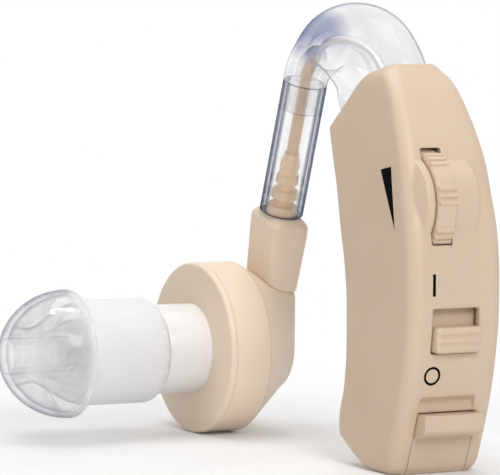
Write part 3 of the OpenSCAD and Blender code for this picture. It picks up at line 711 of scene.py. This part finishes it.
def make_door():
    """Door under the case's own skin, with its ridge and the tray for the cell."""
    door = case_outer()
    tidy(door)
    deep = back_y(DOOR_TOP)
    outline = [
        (deep - FAR, -1),
        (deep - FAR, DOOR_TOP),
        (deep + WALL + GAP, DOOR_TOP),
        (CELL_Y - CELL_R, TRAY_TOP),
        (PIN_Y - KNUCKLE_R * 1.9, TRAY_TOP),
        (PIN_Y - KNUCKLE_R, PIN_Z + KNUCKLE_R * 1.5),
        (PIN_Y, PIN_Z + KNUCKLE_R),
        (PIN_Y, -1),
    ]
    combine(door, slab_x(-DOOR_HALF, DOOR_HALF, outline), "INTERSECT")
    edge = deep - RIDGE_OUT
    low = back_y(DOOR_TOP - RIDGE_H * 1.7)
    hollow = [
        (
            edge + (low - edge) * (1 - math.cos(math.radians(a))),
            DOOR_TOP - RIDGE_H - RIDGE_H * 0.8 * math.sin(math.radians(a)),
        )
        for a in range(0, 91, 10)
    ]
    ridge = [(deep + WALL, DOOR_TOP), (edge + 0.12, DOOR_TOP), (edge, DOOR_TOP - 0.12)]
    ridge += [(edge, DOOR_TOP - RIDGE_H + 0.05)] + hollow
    ridge += [(deep + WALL, DOOR_TOP - RIDGE_H * 1.8)]
    raised = slab_x(-DOOR_HALF, DOOR_HALF, ridge)
    for side in (-1, 1):
        bite = box((-1, edge - 1, -1), (1, deep, DOOR_TOP + 1))
        bite.data.transform(Matrix.Rotation(side * math.radians(-RIDGE_SLANT), 4, "Z"))
        bite.data.transform(Matrix.Translation((side * (DOOR_HALF + 1.05), deep - edge, 0)))
        cut(raised, bite)
    join(door, raised, bar_x(-DOOR_HALF, DOOR_HALF, PIN_Y, PIN_Z, KNUCKLE_R))
    cut(
        door,
        bar_x(-CELL_T / 2 - LOOSE, CELL_T / 2 + LOOSE, CELL_Y, CELL_Z, CELL_R + LOOSE),
        bar_x(-CASE_W, CASE_W, PIN_Y, PIN_Z, KNUCKLE_BORE_R, sides=32),
    )
    soften(door, voxel=0.1, rounds=2)
    return piece(
        door, "door", "door", CASE_PLASTIC, "case", ("battery_door",), angle=60
    )


def make_wheel():
    """Finger wheel: a rim with groups of fine ribs and rounded edges."""
    soft = 0.22
    half = WHEEL_W / 2
    rim = [(-half, 0.5), (-half, WHEEL_R - soft), (-half + soft, WHEEL_R)]
    rim += [(half - soft, WHEEL_R), (half, WHEEL_R - soft), (half, 0.5)]
    wheel = turned("wheel", rim, (WHEEL_X, WHEEL_Y, WHEEL_Z), (1, 0, 0), 144)
    for group in range(RIB_GROUPS):
        for k in (-1, 0, 1):
            turn = RIB_START + 360 / RIB_GROUPS * group + RIB_STEP * k
            join(wheel, turned_rib(math.radians(turn)))
    hub, recess = WHEEL_X + half + 1.7, WHEEL_X - half + 0.4
    join(wheel, bar_x(WHEEL_X + half - 0.2, hub, WHEEL_Y, WHEEL_Z, 1.0))
    cut(wheel, bar_x(WHEEL_X - 3, recess, WHEEL_Y, WHEEL_Z, 0.82, sides=48))
    soften(wheel, voxel=0.07, rounds=1)
    return piece(
        wheel, "finger_wheel", "wheel", CASE_PLASTIC, "case", ("volume_wheel",), angle=60
    )


def turned_rib(turn):
    half = WHEEL_W / 2 - 0.05
    top = WHEEL_R + RIB_H
    outline = [(-RIB_HALF * 1.3, WHEEL_R - 0.2), (-RIB_HALF, top), (RIB_HALF, top)]
    outline += [(RIB_HALF * 1.3, WHEEL_R - 0.2)]
    c, s = math.cos(turn), math.sin(turn)
    spots = [
        (WHEEL_Y - r * c - side * s, WHEEL_Z - r * s + side * c) for side, r in outline
    ]
    return slab_x(WHEEL_X - half, WHEEL_X + half, spots)


def make_knob():
    knob_z = SLOT_Z + GAP
    tip = back_y(SLOT_Z) - KNOB_OUT
    knob = box(
        (SWITCH_X - KNOB_W / 2, tip, knob_z),
        (SWITCH_X + KNOB_W / 2, PLATE_Y - PLATE_T / 2, knob_z + KNOB_H),
    )
    tidy(knob)
    bevelled(knob, width=0.4, steps=4)
    plate = box(
        (SWITCH_X - PLATE_W / 2, PLATE_Y - PLATE_T, PLATE_LOW),
        (SWITCH_X + PLATE_W / 2, PLATE_Y, PLATE_HIGH),
    )
    join(knob, plate)
    for k in (1, 2):
        groove = bar_x(-CASE_W, CASE_W, tip - 0.06, knob_z + KNOB_H * k / 3, 0.24, sides=32)
        cut(knob, groove)
    soften(knob, voxel=0.08, rounds=2)
    return piece(
        knob, "slide_knob", "switch", CASE_PLASTIC, "case", ("switch_knob",), angle=60
    )


# Hook, sleeve, cable
def sleeve_point(t):
    return (
        SLEEVE_FOOT[0] - t * math.sin(SLEEVE_LEAN),
        SLEEVE_FOOT[1] + t * math.cos(SLEEVE_LEAN),
    )


HOOK_END = sleeve_point(SLEEVE_L)
HOOK_TURN = sleeve_point(SLEEVE_L + SLEEVE_R / 3)
MOUTH = (0.624 * CASE_D, 0.9165 * CASE_H)
HOOK_RISE, HOOK_DEEP, HOOK_WIDE = 5.2, 5.4, 3.6
# How much squarer than round the hook's inner side is at its widest
HOOK_SQUARE = 2.5
# Reach from the mouth to the sleeve, lift, half depth and half width, as in the CAD
HOOK_SHARES = (
    (-0.121, -0.365, 0.722, 0.8),
    (0, 0, 1, 1),
    (0.172, 0.674, 0.926, 1),
    (0.443, 0.949, 0.759, 0.917),
    (0.718, 0.885, 0.565, 0.75),
    (0.917, 0.431, 0.472, 0.68),
)


def hook_stations():
    rows = []
    for reach, lift, deep, wide in HOOK_SHARES:
        y = MOUTH[0] + reach * (HOOK_END[0] - MOUTH[0])
        z = MOUTH[1] + reach * (HOOK_END[1] - MOUTH[1]) + lift * HOOK_RISE
        rows.append((y, z, deep * HOOK_DEEP, wide * HOOK_WIDE))
    rows.append((*HOOK_TURN, SLEEVE_R, SLEEVE_R))
    return rows


def blended(rows, steps):
    """Rows on a smooth curve through the stations."""
    first = tuple(2 * a - b for a, b in zip(rows[0], rows[1]))
    last = tuple(2 * a - b for a, b in zip(rows[-1], rows[-2]))
    padded = [first, *rows, last]
    out = []
    for k in range(1, len(padded) - 2):
        a, b, c, d = padded[k - 1 : k + 3]
        for i in range(steps):
            t = i / steps
            out.append(
                tuple(
                    0.5
                    * (
                        2 * q
                        + (r - p) * t
                        + (2 * p - 5 * q + 4 * r - s) * t * t
                        + (3 * q - p - 3 * r + s) * t**3
                    )
                    for p, q, r, s in zip(a, b, c, d)
                )
            )
    out.append(rows[-1])
    return out


def path_rings(rows, sides):
    rings = []
    for k, (y, z, deep, wide) in enumerate(rows):
        before, after = rows[max(k - 1, 0)], rows[min(k + 1, len(rows) - 1)]
        dy, dz = after[0] - before[0], after[1] - before[1]
        run = math.hypot(dy, dz)
        square = max(wide - SLEEVE_R, 0) / (HOOK_WIDE - SLEEVE_R)
        ring = []
        for i in range(sides):
            t = 2 * math.pi * i / sides
            power = 2 / (2 + HOOK_SQUARE * square) if math.sin(t) < 0 else 1
            across = wide * math.copysign(abs(math.cos(t)) ** power, math.cos(t))
            off = deep * math.copysign(abs(math.sin(t)) ** power, math.sin(t))
            ring.append((across, y - dz / run * off, z + dy / run * off))
        rings.append(ring)
    return rings


def tube_along(name, rows, sides):
    made = loft(name, path_rings(rows, sides))
    tidy(made)
    return made


def along_sleeve(name, outline, sides=96):
    """Outline of (height up the sleeve, radius), turned about the sleeve's axis."""
    y, z = SLEEVE_FOOT
    return turned(
        name,
        outline,
        (0, y, z),
        (0, -math.sin(SLEEVE_LEAN), math.cos(SLEEVE_LEAN)),
        sides,
    )


HOOK_STEPS = 14
# Rows of the hook that sit in the case
SEATED_ROWS = 2 * HOOK_STEPS + 1
HOOK_ROWS = blended(hook_stations(), HOOK_STEPS) + [(*HOOK_END, SLEEVE_R, SLEEVE_R)]
HOOK_PIN = (HOOK_ROWS[0][0] + 2.1, HOOK_ROWS[0][1] - 0.7)
HOOK_PIN_HALF = 4.2
CORE_R, BORE_R = 0.3, 1.25
CORE_CHANNEL_R = CORE_R + 0.1
# The cable's jacket ends in the hook's bend
JACKET_FROM = round(HOOK_STEPS * 4.4)
SPIGOT_R = SLEEVE_R - SLEEVE_WALL - SEAT


def make_hook():
    hook = tube_along("hook", HOOK_ROWS, 64)
    spigot = along_sleeve(
        "spigot",
        [
            (SLEEVE_L - SPIGOT_L, 0.2),
            (SLEEVE_L - SPIGOT_L, SPIGOT_R - 0.2),
            (SLEEVE_L - SPIGOT_L + 0.2, SPIGOT_R),
            (SLEEVE_L + 0.1, SPIGOT_R),
            (SLEEVE_L + 0.1, 0.2),
        ],
        64,
    )
    join(hook, spigot)
    low = sleeve_point(SLEEVE_L - SPIGOT_L - 1)
    first, second = HOOK_ROWS[0], HOOK_ROWS[1]
    start = tuple(a - (b - a) * 1.2 for a, b in zip(first, second))
    bore = [start, *HOOK_ROWS, (*low, 0, 0)]
    channel = tube_along("bore", rounded_rows(bore, 1, CORE_CHANNEL_R, BORE_R, 6), 32)
    cut(hook, channel, bar_x(-CASE_W, CASE_W, *HOOK_PIN, HOOK_PIN_BORE_R, sides=32))
    return piece(
        hook, "clear_hook", "root", CLEAR_HOOK, "clear_plastic", ("ear_hook",), angle=50
    )


def rounded_rows(rows, first, thin, wide, dome_rows):
    """Rows with a thin radius up to the jacket's end, then wide, with a domed step."""
    out = []
    for k, row in enumerate(rows):
        t = min(max((k - first - JACKET_FROM) / dome_rows, 0), 1)
        r = thin if t == 0 else max(thin, wide * math.sqrt(1 - (1 - t) ** 2))
        out.append((row[0], row[1], r, r))
    return out


def make_sleeve():
    bore = SLEEVE_R - SLEEVE_WALL
    soft = 0.08
    outline = [
        (GAP, bore),
        (GAP, SLEEVE_R - soft),
        (GAP + soft, SLEEVE_R),
        (SLEEVE_L - GAP - soft, SLEEVE_R),
        (SLEEVE_L - GAP, SLEEVE_R - soft),
        (SLEEVE_L - GAP, bore),
    ]
    sleeve = along_sleeve("sleeve", outline)
    return piece(
        sleeve, "sleeve_tube", "root", CLEAR_SLEEVE, "clear_plastic", ("clear_sleeve",)
    )


def make_cable():
    low, steps, first = sleeve_point(0.6), 12, 3
    rows = rounded_rows(HOOK_ROWS, first, CORE_R, CABLE_R, 2)
    for k in range(1, steps + 1):
        spot = [a + (b - a) * k / steps for a, b in zip(HOOK_END, low)]
        rows.append((*spot, CABLE_R, CABLE_R))
    cable = tube_along("cable", rows, 32)
    pale_before(CABLE_PLASTIC, (0.93, 0.91, 0.9), rows[JACKET_FROM + first][0])
    return piece(cable, "cable", "root", CABLE_PLASTIC, "cable", ("receiver_cable",))


def make_boot():
    """Strain relief: four bands that widen towards the neck, with notches between."""
    length, top, low, bands = 6.9, 1.05, 1.68, 4
    step, widen = length / bands, (low - top) / (bands - 1)
    notch = 0.98
    outline = [(0, CABLE_R + LOOSE)]
    for k in range(bands):
        r, z = low - widen * k, k * step
        thin = r - widen / 3
        outline += [(z + 0.02, r - 0.12), (z + 0.14, r)]
        outline += [(z + step * 0.52, thin), (z + step * 0.58, thin - 0.08)]
        if k < bands - 1:
            outline += [(z + step * 0.6, notch), (z + step * 0.98, notch)]
    outline += [(length, top - 0.25), (length, CABLE_R + LOOSE)]
    boot = along_sleeve("boot", outline)
    return piece(
        boot, "ribbed_boot", "receiver", BOOT_PLASTIC, "cable", ("strain_relief_boot",)
    )


# The receiver
DRUM_BACK = DRUM_FRONT + DRUM_T
REAR_BACK = DRUM_BACK + REAR_T


def on_sleeve(made):
    turn = Matrix.Rotation(SLEEVE_LEAN, 4, "X")
    made.data.transform(Matrix.Translation((0, *SLEEVE_FOOT)) @ turn)
    return made


def receiver_piece(made, name, node, angle=40):
    finish = RECEIVER_PLASTIC, "receiver_plastic"
    return piece(made, name, "receiver", *finish, (node,), angle=angle)


# Share of the way down the neck, and how much its section grows there
NECK_PINCH = ((0, -0.75), (0.04, -0.3), (0.09, -0.05), (0.2, 0), (0.6, 0), (1.3, 0))
CABLE_BORE_R = 0.7


def make_neck():
    """Tapered neck block, pinched a little at its top."""
    top_w, low_w, deep, length, shift = 4.6, 3.6, 5.9, 8.6, 0.4
    soft = 0.75
    rings = []
    for t, grow in NECK_PINCH:
        across = (top_w + (low_w - top_w) * t) / 2 + grow
        middle = shift * t
        half = deep / 2 + grow
        r = min(soft, across, half)
        flat = rounded(across, -half, half, r, r)
        rings.append([(middle + x, y, -length * t) for x, y in flat])
    neck = loft("neck", rings[::-1])
    tidy(neck)
    on_sleeve(neck)
    keep = box((-9, 20, REAR_TOP + SEAT), (9, 45, 30))
    combine(neck, keep, "INTERSECT")
    cut(neck, rear_form("clear", SEAT))
    bore = bar_x(-12, 12, 0, 0, CABLE_BORE_R, sides=32)
    bore.data.transform(Matrix.Rotation(math.radians(90), 4, "Y"))
    on_sleeve(bore)
    cut(neck, bore)
    soften(neck, voxel=0.1, rounds=2)
    return receiver_piece(neck, "neck", "neck_block", angle=60)


def rear_form(name, grow=0.0, steps=24):
    """Housing from the drum's round rim to a narrower, U-shaped back."""
    soft = 0.35

    def rim(k):
        t = 2 * math.pi * k / 96
        return DRUM_R * math.cos(t), DRUM_R + DRUM_R * math.sin(t)

    def back(k, draw):
        t = 2 * math.pi * k / 96
        c, s = math.cos(t), math.sin(t)
        r = REAR_R - draw
        if s <= 0:
            return r * c, DRUM_R + r * s
        reach = min(r / max(abs(c), 1e-6), (REAR_TOP - draw - DRUM_R) / max(s, 1e-6))
        return reach * c, DRUM_R + reach * s

    rings = []
    for i in range(steps + 1):
        t = i / steps
        x = DRUM_BACK + (REAR_T - soft) * t
        ends = [(rim(k), back(k, 0)) for k in range(96)]
        rings.append([(x, *(p + (q - p) * t for p, q in zip(a, b))) for a, b in ends])
    for a in (30, 60, 90):
        draw = soft * (1 - math.cos(math.radians(a)))
        x = REAR_BACK - soft + soft * math.sin(math.radians(a))
        rings.append([(x, *back(k, draw)) for k in range(96)])
    wider = 1 + grow / DRUM_R
    rings = [
        [(x, DRUM_Y + y * wider, DRUM_R + (z - DRUM_R) * wider) for x, y, z in ring]
        for ring in rings
    ]
    made = loft(name, rings)
    tidy(made)
    return made


def make_rear():
    rear = rear_form("rear")
    cut(rear, bar_x(DRUM_BACK - 1, REAR_BACK - 1, DRUM_Y, DRUM_R, 3.6))
    return receiver_piece(rear, "rear_housing", "receiver_rear_housing", angle=22)


def about_drum(name, outline, sides=144):
    """Outline of (x, radius), turned about the drum's axis."""
    return turned(name, outline, (0, DRUM_Y, DRUM_R), (1, 0, 0), sides)


def make_drum():
    inner = DRUM_R - 0.9
    front = DRUM_FRONT + CAP_T
    soft = 0.06
    outline = [
        (front, inner),
        (front, DRUM_R - soft),
        (front + soft, DRUM_R),
        (DRUM_BACK - soft, DRUM_R),
        (DRUM_BACK, DRUM_R - soft),
        (DRUM_BACK, inner),
    ]
    drum = about_drum("drum", outline)
    return receiver_piece(drum, "drum", "receiver_drum")


def make_cap():
    back = DRUM_FRONT + CAP_T - SEAT
    soft = 0.35
    arc = [
        (
            DRUM_FRONT + soft - soft * math.cos(math.radians(a)),
            DRUM_R - soft + soft * math.sin(math.radians(a)),
        )
        for a in range(0, 91, 15)
    ]
    hole = NOZZLE_SEAT_R + SEAT
    outline = [(back, hole), (DRUM_FRONT, hole), *arc, (back - 0.05, DRUM_R)]
    outline += [(back, DRUM_R - 0.05)]
    cap = about_drum("cap", outline)
    return receiver_piece(cap, "front_cap", "receiver_front_cap")


TIP_END = DRUM_FRONT - NOZZLE_L
RIM_X = TIP_END - STEM_L
SPIGOT_TIP_R, SPIGOT_TIP_L, SOUND_R = 3.5, 6.0, 2.2


def make_nozzle():
    far = TIP_END - SPIGOT_TIP_L
    back = DRUM_FRONT + CAP_T - SEAT
    outline = [
        (back, SOUND_R),
        (far, SOUND_R),
        (far, SPIGOT_TIP_R - 0.4),
        (far + 0.4, SPIGOT_TIP_R),
        (TIP_END, SPIGOT_TIP_R),
        (TIP_END, NOZZLE_R - 0.3),
        (TIP_END + 0.09, NOZZLE_R - 0.09),
        (TIP_END + 0.3, NOZZLE_R),
        (DRUM_FRONT, NOZZLE_R),
        (DRUM_FRONT, NOZZLE_SEAT_R),
        (back, NOZZLE_SEAT_R),
    ]
    nozzle = about_drum("nozzle", outline)
    return piece(
        nozzle, "sound_nozzle", "receiver", WHITE_PLASTIC, "white_plastic", ("nozzle",)
    )


def make_tip():
    """Soft tip: a stem that holds the nozzle's spigot, and an open dome that folds back."""
    arc_steps = 14

    def dome(r, length, count=28):
        return [
            (STEM_L + length * math.sin(a), r * math.cos(a))
            for a in (math.pi / 2 * k / count for k in range(count + 1))
        ]

    shoulder, tube = 1.3, 2.9
    bore = SPIGOT_TIP_R + LOOSE
    turns = [math.pi / 2 * k / arc_steps for k in range(arc_steps + 1)]
    outline = [(SEAT, bore)]
    outline += [
        (
            SEAT + shoulder - shoulder * math.cos(t),
            STEM_R - shoulder + shoulder * math.sin(t),
        )
        for t in turns
    ]
    # The stem tapers under the dome and runs into the inner tube
    for k in range(1, 13):
        t = k / 12
        ease = t * t * (3 - 2 * t)
        x = STEM_L * 0.7 + (STEM_L * 0.3 + DOME_L * 0.62) * t
        outline.append((x, STEM_R + (tube - STEM_R) * ease**1.6))
    inner = [p for p in dome(DOME_R - DOME_WALL, DOME_L - DOME_WALL * 1.6) if p[1] > tube]
    outline += reversed(inner)
    lip = DOME_WALL / 2
    outline += [
        (
            STEM_L - lip * math.sin(math.pi * k / 6) * 0.8,
            DOME_R - lip - lip * math.cos(math.pi * k / 6),
        )
        for k in range(1, 6)
    ]
    mouth, end = 1.9, SPIGOT_TIP_L + GAP
    outline += [p for p in dome(DOME_R, DOME_L) if p[1] > mouth + 0.3]
    outline += [(STEM_L + DOME_L * 0.955, mouth), (end, mouth), (end, bore)]
    tip = turned("tip", outline, (TIP_END, DRUM_Y, DRUM_R), (-1, 0, 0), 144)
    milky = silicone("soft_silicone", RIM_X)
    return piece(tip, "soft_tip", "tip", milky, "silicone", ("ear_tip",), angle=70)


# Printed marks
INK_T = 0.012


def skin_at(x, z):
    """Point of the case's back at x and z, just above the skin."""
    ring = case_ring(z)
    heights = [
        y0 + (y1 - y0) * (x - x0) / (x1 - x0)
        for (x0, y0, _), (x1, y1, _) in zip(ring, ring[1:] + ring[:1])
        if min(x0, x1) <= x <= max(x0, x1) and abs(x1 - x0) > 1e-9
    ]
    return x, min(heights) - INK_T, z


def ink(name, points, faces):
    piece(solid(name, points, faces), name, "root", INK, "dark_plastic")


def make_marks():
    """Bar and ring on the case's back, and a wedge on its side."""
    bar_x_mid, bar_half, bar_low, bar_high, cuts = -2.85, 0.17, 18.15, 20.35, 8
    rise = [bar_low + (bar_high - bar_low) * k / cuts for k in range(cuts + 1)]
    points = [skin_at(bar_x_mid + side * bar_half, z) for side in (-1, 1) for z in rise]
    n = len(rise)
    ink("on_mark", points, [(k, k + 1, n + k + 1, n + k) for k in range(cuts)])

    ring_x, ring_z, ring_r, stroke, n = -2.5, 10.2, 0.95, 0.25, 48
    points = [
        skin_at(*p) for r in (ring_r, ring_r - stroke) for p in circle(ring_x, ring_z, r, n)
    ]
    ink("off_mark", points, [(i, (i + 1) % n, n + (i + 1) % n, n + i) for i in range(n)])

    wedge, cuts = [(1.36, 30.3), (-0.54, 30.7), (-1.92, 24.5)], 16
    points = []
    for k in range(cuts + 1):
        for start in wedge[:2]:
            y, z = (a + (b - a) * k / cuts for a, b in zip(start, wedge[2]))
            points.append((-half_w(z) - INK_T, y, z))
    faces = [(2 * k, 2 * k + 1, 2 * k + 3, 2 * k + 2) for k in range(cuts)]
    ink("volume_mark", points, faces)


make_shell()
make_cover()
make_door()
make_wheel()
make_knob()
make_hook()
make_sleeve()
make_cable()
make_boot()
make_neck()
make_rear()
make_drum()
make_cap()
make_nozzle()
make_tip()
make_marks()

CARRIED = {
    "wheel_screw": STEEL,
    "hinge_pin": STEEL,
    "hook_pin": STEEL,
    "wax_screen": STEEL,
    "button_cell": NICKEL,
    "driver_magnet": NICKEL,
    "driver_yoke": DARK_STEEL,
    "pole_plate": DARK_STEEL,
    "voice_coil": COPPER,
    "diaphragm": FILM,
    "microphone": BRASS,
    "positive_contact": BRASS,
    "negative_contact": BRASS,
    "microphone_boot": RUBBER,
    "volume_potentiometer": DARK_PLASTIC,
    "switch_body": DARK_PLASTIC,
    "amplifier_chip": DARK_PLASTIC,
    "circuit_board": BOARD,
    "capacitors": CAPACITOR,
}
for carried_name, finish in CARRIED.items():
    carried = nodes[carried_name]
    carried.data.materials.clear()
    carried.data.materials.append(finish)

# Stage and light
scene = bpy.context.scene
scene.view_settings.view_transform = "Standard"

# Level direction that the camera looks in, and the light of the room round the set
VIEW_AHEAD = (0.4906, 0.8714, 0)
ROOM_COLOUR = (0.25, 0.24, 0.235)
CEILING_COLOUR = (0.62, 0.62, 0.63)
# Darker room that shows at the edges of clear parts
GLASS_EDGE_COLOUR = (0.09, 0.11, 0.19)
# Paper under the object, and how far along the view it fades into white, in metres
PAPER_DARK, PAPER_LIGHT = (0.8, 0.8, 0.8), (0.83, 0.83, 0.83)
FLOOR_LIFT = 0.05
FADE_FROM, FADE_TO = 0.03, 0.09


def floor_material():
    """White paper that shows the object's soft shadow and runs into pure white behind."""
    material, tree, shader = node_material("floor_paper")
    path = add(tree, "LightPath").outputs
    look = {
        "Base Color": ramp(tree, noise(tree, 90), PAPER_DARK, PAPER_LIGHT),
        "Roughness": 0.6,
        "Specular IOR Level": 0.2,
        "Emission Color": (*WHITE, 1),
        "Emission Strength": worked(
            tree, "Math", "MULTIPLY", path["Is Camera Ray"], FLOOR_LIFT
        ),
    }
    feed(tree, shader, look)
    white = add(tree, "Emission", {"Strength": 1.0})
    away = worked(tree, "VectorMath", "DOT_PRODUCT", place_in(tree), VIEW_AHEAD)
    fade = spread(tree, away, 0, 1, FADE_FROM, FADE_TO, "SMOOTHSTEP")
    rays = path["Is Camera Ray"], path["Is Transmission Ray"]
    seen = worked(tree, "Math", "MULTIPLY", fade, worked(tree, "Math", "MAXIMUM", *rays))
    show(tree, mixed(tree, seen, shader.outputs["BSDF"], white.outputs["Emission"]))
    return material


def make_floor():
    size = 3.0
    floor = solid(
        "floor",
        [(-size, -size, 0), (size, -size, 0), (size, size, 0), (-size, size, 0)],
        [(0, 1, 2, 3)],
    )
    floor.location.z = -0.00002
    floor.data.materials.append(floor_material())


def make_world():
    """A white backdrop behind the object, and a dimmer, cooler room everywhere else."""
    world = bpy.data.worlds.new("studio")
    world.use_nodes = True
    tree = world.node_tree
    tree.nodes.clear()
    path = add(tree, "LightPath").outputs
    around = place_in(tree, "Generated")
    ahead = worked(tree, "VectorMath", "DOT_PRODUCT", around, VIEW_AHEAD)
    backdrop = ramp(tree, ahead, ROOM_COLOUR, WHITE, 0.35, 0.8)
    up = add(tree, "SeparateXYZ", {"Vector": around}).outputs["Z"]
    ceiling = ramp(tree, up, (0, 0, 0), CEILING_COLOUR, 0.25, 0.75)
    colours = {"Factor": 1.0, "A": backdrop, "B": ceiling}
    both = add(tree, "Mix", colours, data_type="RGBA", blend_type="LIGHTEN")
    through = ramp(tree, ahead, GLASS_EDGE_COLOUR, WHITE, 0.35, 0.75)
    lit, glass, seen = (
        add(tree, "Background", {"Color": colour, "Strength": 1.0}).outputs["Background"]
        for colour in (both.outputs["Result"], through, (*WHITE, 1))
    )
    indirect = mixed(tree, path["Is Transmission Ray"], lit, glass)
    whole = mixed(tree, path["Is Camera Ray"], indirect, seen)
    add(tree, "OutputWorld", {"Surface": whole})
    scene.world = world


def area_light(name, place, target, size, power, colour=(1, 1, 1)):
    data = bpy.data.lights.new(name, "AREA")
    data.shape = "RECTANGLE"
    data.size, data.size_y = size
    data.energy = power
    data.color = colour
    made = bpy.data.objects.new(name, data)
    scene.collection.objects.link(made)
    made.location = place
    aim = Vector(target) - Vector(place)
    made.rotation_euler = aim.to_track_quat("-Z", "Y").to_euler()


make_floor()
make_world()
middle = (0, 0.015, 0.02)
area_light("key", (-0.06, -0.3, 0.2), middle, (0.14, 0.14), 0.62, (1, 0.995, 0.98))
area_light("top", (-0.03, 0.03, 0.3), middle, (0.2, 0.2), 0.35)
area_light("left", (-0.3, -0.02, 0.06), middle, (0.12, 0.2), 0.08, (1, 0.86, 0.72))


# Camera
def make_camera():
    """Camera found from the photograph: it sees the foot's left corner at a pixel."""
    focal_px = 3467
    tilt, turn, roll = (math.radians(a) for a in (4.53, -29.38, 0.78))
    distance, anchor = 346.7, Vector((-5.4, 1.8, 0))
    anchor_px, middle_px = (370.8, 471.8), (250, 237.5)
    level = Vector((math.cos(turn), math.sin(turn), 0))
    ahead = Vector(
        (-math.sin(turn) * math.cos(tilt), math.cos(turn) * math.cos(tilt), -math.sin(tilt))
    )
    rise = level.cross(ahead)
    right = level * math.cos(roll) + rise * math.sin(roll)
    up = -level * math.sin(roll) + rise * math.cos(roll)
    x = (anchor_px[0] - middle_px[0]) / focal_px
    y = -(anchor_px[1] - middle_px[1]) / focal_px
    place = (anchor - distance * (ahead + x * right + y * up)) * MM
    data = bpy.data.cameras.new("camera")
    data.sensor_fit = "HORIZONTAL"
    data.angle = 2 * math.atan(middle_px[0] / focal_px)
    data.clip_start, data.clip_end = 0.01, 10
    made = bpy.data.objects.new("camera", data)
    scene.collection.objects.link(made)
    turned_to = Matrix((right, up, -ahead)).transposed()
    made.matrix_world = Matrix.Translation(place) @ turned_to.to_4x4()
    scene.camera = made


make_camera()
